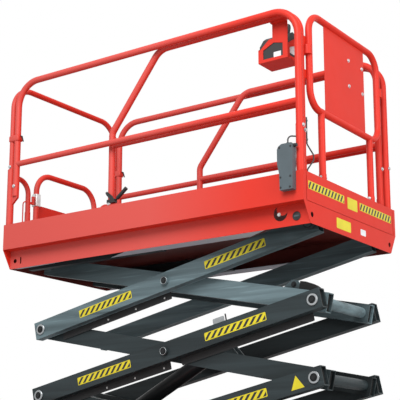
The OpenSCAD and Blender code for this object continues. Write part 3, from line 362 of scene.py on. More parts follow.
def finishes(paints):
    """All materials of the lift, by plain names."""
    red, sheen_red, slate = tuple(paints.red), tuple(paints.sheen_red), tuple(paints.slate)
    yellow, black = tuple(paints.yellow), tuple(paints.black)
    film = shade(yellow, 0.95)
    MATERIALS.update({
        # Both reds carry a painted sheen on faces that look to the right
        "red": paint("red_paint_finish", red, sheen_red=sheen_red),
        "deck": paint("deck_paint_finish", red, sheen_red=sheen_red, below=True),
        "dark": paint("base_paint_finish", tuple(paints.dark), 0.46, 0.03, 0.15),
        "steel": metal("plated_steel_finish", (0.62, 0.63, 0.64), 0.30),
        "chrome": metal("rod_chrome_finish", (0.80, 0.81, 0.82), 0.12),
        "barrel": paint("barrel_finish", (0.016, 0.017, 0.018), 0.36, 0.10, 0.10),
        "black": plastic("black_plastic_finish", (0.014, 0.014, 0.015), 0.50),
        "rubber": plastic("tyre_rubber_finish", (0.060, 0.060, 0.062), 0.78, 0.45),
        "box": plastic("socket_box_finish", tuple(paints.box_grey), 0.42, 0.12),
        # Near black: painted shade in the open arm ends, and the buffer's black
        "void": plastic("hollow_end_finish", (0.002, 0.002, 0.002), 0.90, 0.0),
        # Very light grey, partly a painted highlight for the lit band under the skirt
        "track": paint("track_finish", (0.48, 0.48, 0.54), 0.50),
        "zinc": metal("zinc_finish", (0.72, 0.72, 0.71), 0.42),
        "cap": metal("pin_cap_finish", (0.40, 0.42, 0.43), 0.36),
        "hazard": hazard("hazard_film_finish", yellow, black, 0.0445, -1.0),
        "hazard_front": hazard("front_hazard_film_finish", film, black, 0.0360, -0.55),
        "yellow": plastic("yellow_film_finish", film, 0.42, 0.05),
        "label": plastic("blank_label_finish", (0.70, 0.71, 0.72), 0.40, 0.05),
        "stop": plastic("stop_button_finish", (0.55, 0.012, 0.010), 0.30, 0.05),
    })
    half = ARM_WIDE / 2
    # Painted light and shade: darkened slate for the arms of stages 1 and 2, brightened slate for stage 3
    for stage, light, inner_light in ((1, 0.21, 0.21), (2, 0.23, 0.23), (3, 1.12, 1.35)):
        top = stage == 3
        # Inward faces get painted light on the top outer arms (1.6) and painted shade elsewhere (0.85, 0.42)
        MATERIALS["outer_%d" % stage] = arm_paint("outer_arm_%d_finish" % stage, shade(slate, light), SLOPE,
                                                  OUTER_Y - half, 1.6 if top else 0.85,
                                                  front_light=0.45 if top else 1.0)
        MATERIALS["inner_%d" % stage] = arm_paint("inner_arm_%d_finish" % stage, shade(slate, inner_light), -SLOPE,
                                                  INNER_Y - half, 0.42, rear_light=0.45 if top else 1.0)


NODE_FINISH = {
    "chassis_frame": "dark", "fenders": "dark", "base_tracks": "dark", "socket_cable": "black",
    "control_cable": "black", "front_axle": "dark", "rear_axle": "steel", "ladder": "red",
    "pothole_guards": "dark", "ground_panel": "black", "knuckle_right": "dark", "knuckle_left": "dark",
    "tray_right": "red", "tray_left": "red", "battery_pack": "black", "hydraulic_unit": "steel",
    "lift_barrel": "barrel", "lift_rod": "chrome", "platform_deck": "deck", "deck_tracks": "dark",
    "socket_box": "box", "control_unit": "black", "lock_lever": "black",
}


def finish_of(name):
    """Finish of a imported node, by its name."""
    if name.startswith("tyre"):
        return "rubber"
    if name.startswith("rim"):
        return "steel"
    if name.startswith(("outer_arms", "inner_arms")):
        return name.replace("_arms", "")
    return NODE_FINISH.get(name, "red")


# Meshes

def make_object(name, mesh, body):
    """Links a finished mesh as a piece that rides on a body."""
    piece = bpy.data.objects.new(name, mesh)
    bpy.context.scene.collection.objects.link(piece)
    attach(piece, body)


def to_mesh(name, bm, finish):
    """Painted mesh from a bmesh."""
    mesh = bpy.data.meshes.new(name)
    bm.to_mesh(mesh)
    bm.free()
    mesh.materials.append(MATERIALS[finish])
    return mesh


def keep(name, bm, body, finish, sharp=40):
    """One piece from a bmesh, faces outward, smooth but for edges sharper than an angle."""
    bmesh.ops.recalc_face_normals(bm, faces=bm.faces)
    mesh = to_mesh(name, bm, finish)
    mesh.shade_smooth()
    mesh.set_sharp_from_angle(angle=math.radians(sharp))
    make_object(name, mesh, body)


def plates(name, items, depth, body, finish):
    """One piece from several (outline, place) plates."""
    bm = bmesh.new()
    for outline, place in items:
        plate_into(bm, outline, place, depth)
    make_object(name, to_mesh(name, bm, finish), body)


def turnings(name, items, body, finish, sides=32, sharp=40):
    """One piece from several (profile, origin, direction) turned shapes."""
    bm = bmesh.new()
    for profile, origin, way in items:
        turned(bm, profile, origin, way, sides)
    keep(name, bm, body, finish, sharp)


def rounded_outline(length, height, radius, steps=5):
    """Points of a rounded rectangle about the origin, anticlockwise."""
    points = []
    for cx, cy, start in ((1, 1, 0), (-1, 1, 90), (-1, -1, 180), (1, -1, 270)):
        for i in range(steps + 1):
            a = math.radians(start + 90 * i / steps)
            points.append((cx * (length / 2 - radius) + radius * math.cos(a),
                           cy * (height / 2 - radius) + radius * math.sin(a)))
    return points


def plate_into(bm, outline, place, depth):
    """Adds a thin plate: outline in its own plane, place a matrix with Z out of the face; UV in metres."""
    uv = bm.loops.layers.uv.get("UVMap") or bm.loops.layers.uv.new("UVMap")
    base = [bm.verts.new(place @ Vector((x, y, 0))) for x, y in outline]
    top = [bm.verts.new(place @ Vector((x, y, depth))) for x, y in outline]
    faces = [(bm.faces.new(top), list(outline)), (bm.faces.new(base[::-1]), list(outline)[::-1])]
    count = len(outline)
    for i in range(count):
        j = (i + 1) % count
        face = bm.faces.new((base[i], base[j], top[j], top[i]))
        faces.append((face, [outline[i], outline[j], outline[j], outline[i]]))
    for face, places in faces:
        for loop, (x, y) in zip(face.loops, places):
            loop[uv].uv = (x, y)


def rounded_box(bm, low, high, bevel):
    """Adds a box with rounded edges between two corners."""
    low, high = Vector(low), Vector(high)
    place = Matrix.Translation((low + high) / 2) @ Matrix.Diagonal((*(high - low), 1.0))
    made = bmesh.ops.create_cube(bm, size=1.0, matrix=place)
    edges = list({edge for vert in made["verts"] for edge in vert.link_edges})
    bmesh.ops.bevel(bm, geom=edges, offset=bevel, segments=3, profile=0.5, affect="EDGES")


def skin(bm, rings):
    """Joins rings of points with faces and closes both ends."""
    count = len(rings[0])
    for low, high in zip(rings, rings[1:]):
        for i in range(count):
            j = (i + 1) % count
            bm.faces.new((low[i], low[j], high[j], high[i]))
    bm.faces.new(rings[0][::-1])
    bm.faces.new(rings[-1])


def turned(bm, profile, origin, way, sides=32):
    """Adds a turned shape: (radius, height) steps along a direction."""
    place = Vector(way).normalized().to_track_quat("Z", "Y").to_matrix().to_4x4()
    place.translation = Vector(origin)
    angles = [2 * math.pi * i / sides for i in range(sides)]
    rings = []
    for radius, height in profile:
        circle = [Vector((radius * math.cos(a), radius * math.sin(a), height)) for a in angles]
        rings.append([bm.verts.new(place @ point) for point in circle])
    skin(bm, rings)


def swept(bm, path, radius, sides=12):
    """Adds a round bar along points."""
    points = [Vector(p) for p in path]
    angles = [2 * math.pi * k / sides for k in range(sides)]
    side = None
    rings = []
    for i, point in enumerate(points):
        way = (points[min(i + 1, len(points) - 1)] - points[max(i - 1, 0)]).normalized()
        if side is None:
            side = way.orthogonal().normalized()
        side = (side - side.dot(way) * way).normalized()
        other = way.cross(side)
        circle = [math.cos(a) * side + math.sin(a) * other for a in angles]
        rings.append([bm.verts.new(point + radius * step) for step in circle])
    skin(bm, rings)


def facing(origin, across, up):
    """Matrix with X along across, Y along up and Z out of the face."""
    x = Vector(across).normalized()
    y = Vector(up).normalized()
    matrix = Matrix((x, y, x.cross(y))).transposed().to_4x4()
    matrix.translation = Vector(origin)
    return matrix


# Geometry Nodes

BOLT_SIZES = (("Head Radius", 0.009), ("Head Height", 0.006), ("Washer Radius", 0.012),
              ("Washer Height", 0.002))
RING_SIZES = (("Ring Radius", 0.028), ("Ring Width", 0.011), ("Ring Height", 0.005))
LOZENGE_SIZES = (("Length", 0.016), ("Height", 0.0016))


def node_tree(name, sizes):
    """Node group from points to geometry with named sizes; returns it, its graph and its inputs."""
    tree = bpy.data.node_groups.new(name, "GeometryNodeTree")
    face = tree.interface
    face.new_socket("Geometry", in_out="INPUT", socket_type="NodeSocketGeometry")
    for label, default in sizes:
        socket = face.new_socket(label, in_out="INPUT", socket_type="NodeSocketFloat")
        socket.default_value = default
    face.new_socket("Material", in_out="INPUT", socket_type="NodeSocketMaterial")
    face.new_socket("Geometry", in_out="OUTPUT", socket_type="NodeSocketGeometry")
    graph = Graph(tree)
    return tree, graph, graph.add("NodeGroupInput").outputs


def finish_tree(graph, given, shape, turn):
    """Instances shape on the input points with a rotation, realised and painted."""
    instances = graph.add("GeometryNodeInstanceOnPoints", {"Points": given["Geometry"], "Instance": shape,
                                                           "Rotation": turn})
    realise = graph.add("GeometryNodeRealizeInstances", {"Geometry": instances.outputs["Instances"]})
    colour = graph.add("GeometryNodeSetMaterial", {"Geometry": realise.outputs["Geometry"],
                                                   "Material": given["Material"]})
    graph.add("NodeGroupOutput", {"Geometry": colour.outputs["Geometry"]})


def attribute(graph, name, kind):
    """Attribute of the points."""
    return graph.add("GeometryNodeInputNamedAttribute", {"Name": name}, data_type=kind).outputs["Attribute"]


def outward(graph):
    """Rotation that turns Z to each point's facing attribute."""
    way = attribute(graph, "facing", "FLOAT_VECTOR")
    return graph.add("FunctionNodeAlignRotationToVector", {"Vector": way}, axis="Z").outputs["Rotation"]


def raised(graph, geometry, height):
    """Moves geometry up by a linked height."""
    shift = graph.add("ShaderNodeCombineXYZ", {"Z": height}).outputs["Vector"]
    node = graph.add("GeometryNodeTransform", {"Geometry": geometry, "Translation": shift})
    return node.outputs["Geometry"]


def drum(graph, sides, radius, depth):
    """Closed cylinder that stands on the ground, with linked radius and depth."""
    node = graph.add("GeometryNodeMeshCylinder", {"Vertices": sides, "Radius": radius, "Depth": depth})
    return node.outputs["Mesh"]


def bolt_tree():
    """Hexagon head on a round washer."""
    tree, graph, given = node_tree("hex_bolts", BOLT_SIZES)
    tall, thin = given["Head Height"], given["Washer Height"]
    washer = raised(graph, drum(graph, 20, given["Washer Radius"], thin), graph.calc("MULTIPLY", thin, 0.5))
    lift = graph.calc("ADD", thin, graph.calc("MULTIPLY", tall, 0.5))
    head = raised(graph, drum(graph, 6, given["Head Radius"], tall), lift)
    join = graph.add("GeometryNodeJoinGeometry", {"Geometry": washer})
    graph.put(join, {"Geometry": head})
    finish_tree(graph, given, join.outputs["Geometry"], outward(graph))
    return tree


def ring_tree():
    """Flat ring with a square section."""
    tree, graph, given = node_tree("pin_rings", RING_SIZES)
    tall = given["Ring Height"]
    circle = graph.add("GeometryNodeCurvePrimitiveCircle", {"Resolution": 40, "Radius": given["Ring Radius"]})
    section = graph.add("GeometryNodeCurvePrimitiveQuadrilateral", {"Width": given["Ring Width"],
                                                                    "Height": tall})
    sweep = graph.add("GeometryNodeCurveToMesh", {"Curve": circle.outputs["Curve"],
                                                  "Profile Curve": section.outputs["Curve"]})
    ring = raised(graph, sweep.outputs["Mesh"], graph.calc("MULTIPLY", tall, 0.5))
    finish_tree(graph, given, ring, outward(graph))
    return tree


def lozenge_tree():
    """Low raised lozenge of a tread plate."""
    tree, graph, given = node_tree("tread_lozenges", LOZENGE_SIZES)
    cone = graph.add("GeometryNodeMeshCone", {"Vertices": 8, "Radius Top": 0.45, "Radius Bottom": 1.0,
                                              "Depth": 1.0})
    size = graph.add("ShaderNodeCombineXYZ", {"X": given["Length"], "Z": given["Height"],
                                              "Y": graph.calc("MULTIPLY", given["Length"], 0.30)})
    scale = graph.add("GeometryNodeTransform", {"Geometry": cone.outputs["Mesh"],
                                                "Scale": size.outputs["Vector"]})
    turn = graph.add("ShaderNodeCombineXYZ", {"Z": attribute(graph, "turn", "FLOAT")})
    finish_tree(graph, given, scale.outputs["Geometry"], turn.outputs["Vector"])
    return tree


KINDS = {"bolt": (bolt_tree, BOLT_SIZES), "ring": (ring_tree, RING_SIZES),
         "lozenge": (lozenge_tree, LOZENGE_SIZES)}
TREES = {}


def grow(name, kind, points, body, finish, sizes, turns=None):
    """Runs a tree on (place, direction) points and keeps the result as a plain mesh on a body."""
    make, labels = KINDS[kind]
    if kind not in TREES:
        TREES[kind] = make()
    tree = TREES[kind]
    given = {label: size for (label, _), size in zip(labels, sizes)}
    given["Material"] = MATERIALS[finish]
    seed_mesh = bpy.data.meshes.new(name + "_points")
    seed_mesh.from_pydata([tuple(place) for place, _ in points], [], [])
    ways = seed_mesh.attributes.new("facing", "FLOAT_VECTOR", "POINT")
    ways.data.foreach_set("vector", [c for _, way in points for c in way])
    if turns is not None:
        turn = seed_mesh.attributes.new("turn", "FLOAT", "POINT")
        turn.data.foreach_set("value", turns)
    seed = bpy.data.objects.new(name + "_points", seed_mesh)
    bpy.context.scene.collection.objects.link(seed)
    modifier = seed.modifiers.new("grow", "NODES")
    modifier.node_group = tree
    for item in tree.interface.items_tree:
        if item.in_out == "INPUT" and item.name in given:
            modifier[item.identifier] = given[item.name]
    seed.update_tag()
    bpy.context.view_layer.update()
    evaluated = seed.evaluated_get(bpy.context.evaluated_depsgraph_get())
    mesh = bpy.data.meshes.new_from_object(evaluated)
    mesh.name = name
    seed.modifiers.remove(modifier)
    bpy.data.objects.remove(seed)
    for extra in ("facing", "turn"):
        if extra in mesh.attributes:
            mesh.attributes.remove(mesh.attributes[extra])
    make_object(name, mesh, body)


# Places on the arms

def middle_z(stage):
    """Height of a stage's centre pin."""
    return (LEVELS[stage - 1] + LEVELS[stage]) / 2


def arm_axes(tilt):
    """Directions along and above an arm with a tilt."""
    return Vector((math.cos(tilt), 0, math.sin(tilt))), Vector((-math.sin(tilt), 0, math.cos(tilt)))


def on_arm(stage, along, side):
    """Place on an outer arm's outer face, along from its centre pin, seen from outside."""
    way, up = arm_axes(SLOPE)
    origin = Vector((MID_X, side * ARM_FACE, middle_z(stage))) + along * way
    return facing(origin, way if side < 0 else -way, up)


def arm_end(stage, kind, end, side, inset):
    """Place inside an arm's open end, facing out of it."""
    outer = kind == "outer"
    way, up = arm_axes(SLOPE if outer else -SLOPE)
    tail = TOP_TAIL if stage == 3 and outer and end > 0 else ARM_TAIL
    middle = Vector((MID_X, side * (OUTER_Y if outer else INNER_Y), middle_z(stage)))
    return facing(middle + end * (ARM_HALF + tail - inset) * way, (0, end, 0), up)


def outer_pins():
    """Pins in the outer arms: x, z, and the body of the inner frame that carries the pin."""
    pins = []
    for stage in STAGES:
        pins.append((MID_X, middle_z(stage), "scissor_inner_%d" % stage))
        if stage > 1:
            pins.append((REAR_X, LEVELS[stage - 1], "scissor_inner_%d" % (stage - 1)))
        if stage < 3:
            pins.append((FRONT_X, LEVELS[stage], "scissor_inner_%d" % (stage + 1)))
    return pins


# Operators

class LIFT_OT_finishes(bpy.types.Operator):
    """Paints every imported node"""

    bl_idname = "lift.finishes"
    bl_label = "Finishes"

    def execute(self, context):
        finishes(settings()[0])
        for name, node in NODES.items():
            node.data.materials.clear()
            node.data.materials.append(MATERIALS[finish_of(name)])
        return {"FINISHED"}


class LIFT_OT_pin_hardware(bpy.types.Operator):
    """Caps and bolts on the scissor pins, and bosses on the centre pins"""

    bl_idname = "lift.pin_hardware"
    bl_label = "Pin hardware"

    def execute(self, context):
        hardware = settings()[1]
        radius, deep, boss = hardware.cap_radius, hardware.cap_depth, hardware.boss_depth
        dish = 0.003
        cap = [(radius, 0.0005), (radius, deep - 0.002), (radius - 0.002, deep), (0.0225, deep),
               (0.0215, deep - dish), (0.004, deep - dish)]
        knob = [(0.0250, 0.0005), (0.0250, boss - dish), (0.0230, boss), (0.0205, boss),
                (0.0195, boss - dish), (0.006, boss - dish)]
        caps, bosses, bolts, rings = {}, {}, {}, {}
        for x, z, body in outer_pins():
            middle = x == MID_X
            shapes, profile, tall = (bosses, knob, boss) if middle else (caps, cap, deep)
            for side in SIDES:
                way = (0, side, 0)
                shapes.setdefault(body, []).append((profile, (x, side * ARM_FACE, z), way))
                bolts.setdefault(body, []).append(((x, side * (ARM_FACE + tall - dish), z), way))
                if middle:
                    rings.setdefault(body, []).append(((x, side * (ARM_FACE + boss), z), way))
        for body, items in caps.items():
            turnings("pin_caps_" + body, items, body, "cap")
        for body, items in bosses.items():
            turnings("pin_bosses_" + body, items, body, body.replace("scissor_", ""))
        for body, points in rings.items():
            grow("boss_rings_" + body, "ring", points, body, "cap", BOSS_RING)
        for body, points in bolts.items():
            grow("pin_bolts_" + body, "bolt", points, body, "barrel", PIN_BOLT)
        return {"FINISHED"}


class LIFT_OT_tube_ends(bpy.types.Operator):
    """Painted shade: black plates set back in the open ends of the arms, where the hollow looks dark"""

    bl_idname = "lift.tube_ends"
    bl_label = "Tube ends"

    def execute(self, context):
        around = 2 * ARM_WALL + 0.001
        outline = rounded_outline(ARM_WIDE - around, ARM_HIGH - around, 0.004)
        for stage in STAGES:
            for kind in ("outer", "inner"):
                items = [(outline, arm_end(stage, kind, end, side, 0.020)) for end in SIDES for side in SIDES]
                arm = "%s_%d" % (kind, stage)
                # Painted shade inside the open arm ends
                plates("tube_plugs_" + arm, items, 0.004, "scissor_" + arm, "void")
        return {"FINISHED"}


class LIFT_OT_arm_fittings(bpy.types.Operator):
    """Rubber buffer and ear bolt on the top inner arm, a hose clip and hose trays on the outer arms"""

    bl_idname = "lift.arm_fittings"
    bl_label = "Arm fittings"

    def execute(self, context):
        self.top_arm()
        self.hose_clip()
        self.hose_trays(settings()[1].tray_drop)
        return {"FINISHED"}

    def top_arm(self):
        body = "scissor_inner_3"
        way, up = arm_axes(-SLOPE)
        side_view = [(-0.078, 0.0), (0.060, 0.0), (0.058, 0.011), (0.045, 0.023), (0.022, 0.034),
                     (-0.008, 0.042), (-0.040, 0.047), (-0.078, 0.047)]
        wide = 0.042
        origin = Vector((FRONT_X, wide / 2 - INNER_Y, LEVELS[2])) - 0.070 * way + (ARM_HIGH / 2 - 0.001) * up
        bm = bmesh.new()
        plate_into(bm, side_view, facing(origin, way, up), wide)
        bmesh.ops.bevel(bm, geom=list(bm.edges), offset=0.003, segments=2, profile=0.5, affect="EDGES")
        keep("arm_buffer", bm, body, "void")
        ear = Vector((FRONT_X, ARM_WIDE / 2 - INNER_Y, LEVELS[2])) - 0.215 * way + 0.081 * up
        grow("ear_bolt", "bolt", [(ear, RIGHT)], body, "barrel", EAR_BOLT)

    def hose_clip(self):
        body = "scissor_outer_2"
        way, rise = arm_axes(SLOPE)
        middle = Vector((MID_X, -(ARM_FACE - ARM_WIDE - 0.006), middle_z(2)))
        spot = middle + 0.365 * way + (ARM_HIGH / 2 + 0.014) * rise
        pad = facing(spot - 0.026 * rise - Vector((0, 0.003, 0)), way, rise)
        clip = [(rounded_outline(0.080, 0.074, 0.008), facing(spot, way, rise)),
                (rounded_outline(0.060, 0.016, 0.004), pad)]
        plates("hose_clip", clip, 0.003, body, "cap")
        bm = bmesh.new()
        foot = spot + 0.052 * way
        swept(bm, [foot + up_by * rise + Vector((0, -0.0015, 0)) for up_by in (0.004, 0.024, 0.044)], 0.0045)
        keep("hose_clip_handle", bm, body, "black")

    def hose_trays(self, drop):
        thick = 0.003
        inner_face = ARM_FACE - ARM_WIDE
        back_y = (ARM_GAP - thick) / 2
        top = 0.030 - ARM_HIGH / 2
        low = -ARM_HIGH / 2 - drop
        rear_span = (-0.900, -0.020)
        front_span = (0.060, 0.975)
        for stage, spans in ((2, (rear_span, front_span)), (3, (rear_span,))):
            body = "scissor_outer_%d" % stage
            bm = bmesh.new()
            for start, stop in spans:
                middle = (start + stop) / 2
                place = on_arm(stage, middle, -1)
                place.translation.y = -inner_face + back_y + thick
                strip = [(x, y + (top + low) / 2) for x, y in rounded_outline(stop - start, top - low, 0.006)]
                plate_into(bm, strip, place, thick)
                for along in (start + 0.05, middle, stop - 0.05):
                    spot = on_arm(stage, along, -1)
                    spot.translation.y = -inner_face + back_y
                    pad = [(x, y + top - 0.012) for x, y in rounded_outline(0.030, 0.018, 0.004)]
                    plate_into(bm, pad, spot, back_y)
            bolts = []
            for along in (-0.52, -0.296, -0.072):
                spot = on_arm(stage, along, -1) @ Vector((0, low + 0.020, 0))
                bolts.append(((spot.x, -inner_face + back_y, spot.z), RIGHT))
            keep("hose_trays_%d" % stage, bm, body, "black")
            grow("tray_bolts_%d" % stage, "bolt", bolts, body, "zinc", TRAY_BOLT)


class LIFT_OT_arm_decals(bpy.types.Operator):
    """Hazard decals and blank triangles on the outer arms"""

    bl_idname = "lift.arm_decals"
    bl_label = "Arm decals"

    def execute(self, context):
        hardware = settings()[1]
        inset = 0.010
        border = rounded_outline(hardware.decal_long, hardware.decal_high, 0.006)
        outline = rounded_outline(hardware.decal_long - inset, hardware.decal_high - inset, 0.002)
        triangle = [(-0.042, -0.034), (0.042, -0.034), (0.0, 0.040)]
        rim = [(1.16 * x, 1.16 * y + 0.001) for x, y in triangle]
        for stage in STAGES:
            places = [on_arm(stage, along, side) for side in SIDES for along in (-0.477, 0.505)]
            self.films("arm_decal_borders_%d" % stage, border, places, 0.0004, stage, "yellow")
            self.films("arm_decals_%d" % stage, outline, places, 0.0008, stage, "hazard")
        signs = [on_arm(1, 0.912, side) for side in SIDES]
        self.films("triangle_edges", rim, signs, 0.0005, 1, "black")
        self.films("triangle_fields", triangle, signs, 0.0009, 1, "yellow")
        return {"FINISHED"}

    def films(self, name, outline, places, depth, stage, finish):
        items = [(outline, place) for place in places]
        plates(name, items, depth, "scissor_outer_%d" % stage, finish)


class LIFT_OT_front_decals(bpy.types.Operator):
    """Hazard bands and blank stickers on the front plates"""

    bl_idname = "lift.front_decals"
    bl_label = "Front decals"

    def execute(self, context):
        items, edges = [], []
        high, inset = 0.046, 0.008
        for start, stop in ((-0.505, -0.098), (0.090, 0.500)):
            place = facing((DECK_FRONT, (start + stop) / 2, TOE_Z - 0.072), LEFT, UP)
            items.append((rounded_outline(stop - start - inset, high - inset, 0.002), place))
            edges.append((rounded_outline(stop - start, high, 0.004), place))
        plates("front_band_edges", edges, 0.0004, "extension", "yellow")
        plates("front_hazard_bands", items, 0.0008, "extension", "hazard_front")
        self.sticker("front_blank_patch", 0.0, -0.080, 0.120, 0.068, "extension", "yellow")
        self.sticker("lower_blank_sticker", -0.111, -0.2225, 0.168, 0.060, "platform", "yellow")
        self.sticker("lower_blank_label", 0.1245, -0.2225, 0.065, 0.036, "platform", "label")
        return {"FINISHED"}

    def sticker(self, name, y, z, wide, high, body, finish):
        place = facing((DECK_FRONT, y, TOE_Z + z), LEFT, UP)
        plates(name, [(rounded_outline(wide, high, 0.006), place)], 0.0006, body, finish)


class LIFT_OT_floor_tread(bpy.types.Operator):
    """Raised lozenges of the tread plate on both floors"""

    bl_idname = "lift.floor_tread"
    bl_label = "Floor tread"

    def execute(self, context):
        step = settings()[1].tread_step
        tall = 0.0016
        ext_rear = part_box("ext_deck")[0].x
        areas = (("platform", DECK_REAR + 0.10, ext_rear - 0.02, 0.48, FLOOR_Z, "tread_main"),
                 ("extension", ext_rear + 0.03, DECK_FRONT - 0.08, 0.44, FLOOR_Z + 0.014, "tread_roll_out"))
        for body, rear, front, half, z, name in areas:
            points, turns = [], []
            for i in range(int((front - rear) / step) + 1):
                for j in range(int(2 * half / step) + 1):
                    points.append(((rear + i * step, -half + j * step, z + tall / 2), UP))
                    turns.append(math.radians(45 if (i + j) % 2 else -45))
            grow(name, "lozenge", points, body, "red", (0.40 * step, tall), turns)
        return {"FINISHED"}


class LIFT_OT_rail_bolts(bpy.types.Operator):
    """Bolts of the front sheet and of the rail posts, and clamps of the front loop and rear posts"""

    bl_idname = "lift.rail_bolts"
    bl_label = "Rail bolts"

    def execute(self, context):
        small = (settings()[1].bolt_head, 0.005, 0.012, 0.0015)
        sheet_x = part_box("front_sheet")[1].x
        loop_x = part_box("front_loop")[1].x - 0.022
        sheet = [((sheet_x, y, TOE_Z + z), FORWARD) for y in (0.05, 0.22) for z in (0.66, 0.82)]
        roll_out, fixed = [], []
        for side in SIDES:
            out = (0, side, 0)
            roll_out.append(((1.119, side * 0.470, TOE_Z + 0.250), FORWARD))
            roll_out.append(((-0.257, side * 0.493, TOE_Z + 0.030), out))
            for way in SIDES:
                roll_out.append(((loop_x, side * 0.290 + way * 0.022, TOE_Z + 0.018), (0, way, 0)))
            fixed.append(((REAR_POST_X, side * 0.544, TOE_Z + 0.392), out))
            fixed.append(((SIDE_POST_X, side * 0.546, TOE_Z + 0.255), out))
            fixed.append(((1.139, side * POST_Y, TOE_Z + 0.262), FORWARD))
        grow("sheet_bolts", "bolt", sheet, "extension", "steel", small)
        grow("roll_out_bolts", "bolt", roll_out, "extension", "steel", small)
        grow("side_rail_bolts", "bolt", fixed, "platform", "steel", small)
        self.loop_clamps(loop_x)
        self.rear_clamps()
        return {"FINISHED"}

    def loop_clamps(self, x):
        sleeve = [(0.020, 0.0), (0.0235, 0.001), (0.0235, 0.054), (0.020, 0.055)]
        sleeves = [(sleeve, (x, side * 0.437, TOE_Z + 0.700), UP) for side in SIDES]
        turnings("loop_clamps", sleeves, "extension", "red")
        pins = bmesh.new()
        pin_z = TOE_Z + 0.738
        for side in SIDES:
            y = side * 0.404
            swept(pins, [(x, side * 0.416, pin_z), (x, y, pin_z), (x, y, TOE_Z + 0.690)], 0.0045, 10)
        keep("loop_clamp_pins", pins, "extension", "barrel")

    def rear_clamps(self):
        clamps, pins = bmesh.new(), bmesh.new()
        half = 0.025
        sleeve = [(0.0195, 0.0), (0.0235, 0.001), (0.0235, 0.374), (0.0195, 0.378)]
        for side in SIDES:
            y = side * POST_Y
            rounded_box(clamps, (-1.0830, y - half, TOE_Z + 0.561), (-0.9965, y + half, TOE_Z + 0.605), 0.010)
            turned(clamps, sleeve, (REAR_POST_X - 0.003, y, TOE_Z), UP)
            bar = [(x, y, TOE_Z + z) for x, z in ((-1.000, 0.598), (-0.984, 0.592), (-0.972, 0.555))]
            swept(pins, bar, 0.0045, 10)
        keep("rear_post_clamps", clamps, "platform", "red")
        keep("rear_clamp_pins", pins, "platform", "barrel")


class LIFT_OT_control_details(bpy.types.Operator):
    """Joystick boot and grip, and blank labels on the control unit"""

    bl_idname = "lift.control_details"
    bl_label = "Control details"

    def execute(self, context):
        low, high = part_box("control_unit")
        stick = Vector((high.x - 0.050, low.y + 0.100, low.z + 0.150))
        boot = [(0.027, 0.0)]
        for i in range(4):
            radius = 0.026 - 0.0025 * i
            boot += [(radius, 0.004 + 0.007 * i), (radius - 0.005, 0.0075 + 0.007 * i)]
        boot.append((0.012, 0.033))
        grip = [(0.0115, 0.030), (0.014, 0.044), (0.0175, 0.066), (0.0175, 0.080), (0.014, 0.089),
                (0.006, 0.0935)]
        turnings("joystick_boot", [(boot, stick, UP), (grip, stick, UP)], "extension", "black", sharp=60)
        near = facing((low.x + 0.1175, low.y, TOE_Z + 0.746), FORWARD, UP)
        end = facing((high.x, -0.381, TOE_Z + 0.778), LEFT, UP)
        labels = [(rounded_outline(0.049, 0.032, 0.003), near), (rounded_outline(0.084, 0.056, 0.003), end)]
        plates("control_blank_labels", labels, 0.0006, "extension", "label")
        return {"FINISHED"}


class LIFT_OT_socket_details(bpy.types.Operator):
    """Screws and gland of the socket box, plugs of the skirt, and pale flanges under the skirt that are
    partly a painted highlight
    """

    bl_idname = "lift.socket_details"
    bl_label = "Socket details"

    def execute(self, context):
        low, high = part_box("socket_box")
        spots = ((1.090, -0.035), (1.087, -0.094), (1.029, -0.092), (1.029, -0.035), (1.094, 0.132),
                 (1.024, 0.132))
        points = [((x, low.y, TOE_Z + z), RIGHT) for x, z in spots]
        grow("socket_box_screws", "bolt", points, "platform", "black", BOX_SCREW)
        gland = [(0.006, -0.002), (0.011, 0.0), (0.011, 0.007), (0.008, 0.009), (0.010, 0.011),
                 (0.010, 0.017)]
        hole = (high.x, (low.y + high.y) / 2, TOE_Z + 0.138)
        turnings("socket_gland", [(gland, hole, FORWARD)], "platform", "black", 20)
        self.skirt_plugs()
        self.skirt_flanges(SKIRT_Y - 0.003)
        return {"FINISHED"}

    def skirt_plugs(self):
        plug_x, plug_z, proud = 1.064, TOE_Z - 0.232, 0.004
        rings = [((plug_x, side * SKIRT_Y, plug_z), (0, side, 0)) for side in SIDES]
        grow("skirt_plug_rings", "ring", rings, "platform", "black", PLUG_RING)
        plug = [(0.0195, -0.003), (0.0195, 0.003), (0.017, proud), (0.004, proud)]
        turnings("skirt_plugs", [(plug, spot, way) for spot, way in rings], "platform", "black", 28)
        bar = rounded_outline(0.030, 0.009, 0.004)
        bars = [(bar, facing((plug_x, side * (SKIRT_Y + proud), plug_z), (-side, 0, 0), UP))
                for side in SIDES]
        plates("skirt_plug_bars", bars, 0.002, "platform", "box")
        screws = [((0.953, side * SKIRT_Y, TOE_Z - 0.209), (0, side, 0)) for side in SIDES]
        grow("skirt_bolts", "bolt", screws, "platform", "zinc", SKIRT_BOLT)

    def skirt_flanges(self, edge):
        # Partly painted highlight: pale plates under the skirt's edge, made very light to stand for the lit
        # band below it
        front = [(-0.330, 0.385), (0.700, 0.385), (0.860, edge), (-0.120, edge)]
        rear = [(-1.060, edge), (-1.020, 0.458), (-0.750, 0.470), (-0.600, edge)]
        under = Matrix.Translation((0, 0, DECK_LOW.z + 0.0005))
        bm = bmesh.new()
        for side in SIDES:
            for outline in (front, rear):
                plate_into(bm, [(x, side * y) for x, y in outline], under, 0.003)
        keep("skirt_flanges", bm, "platform", "track")


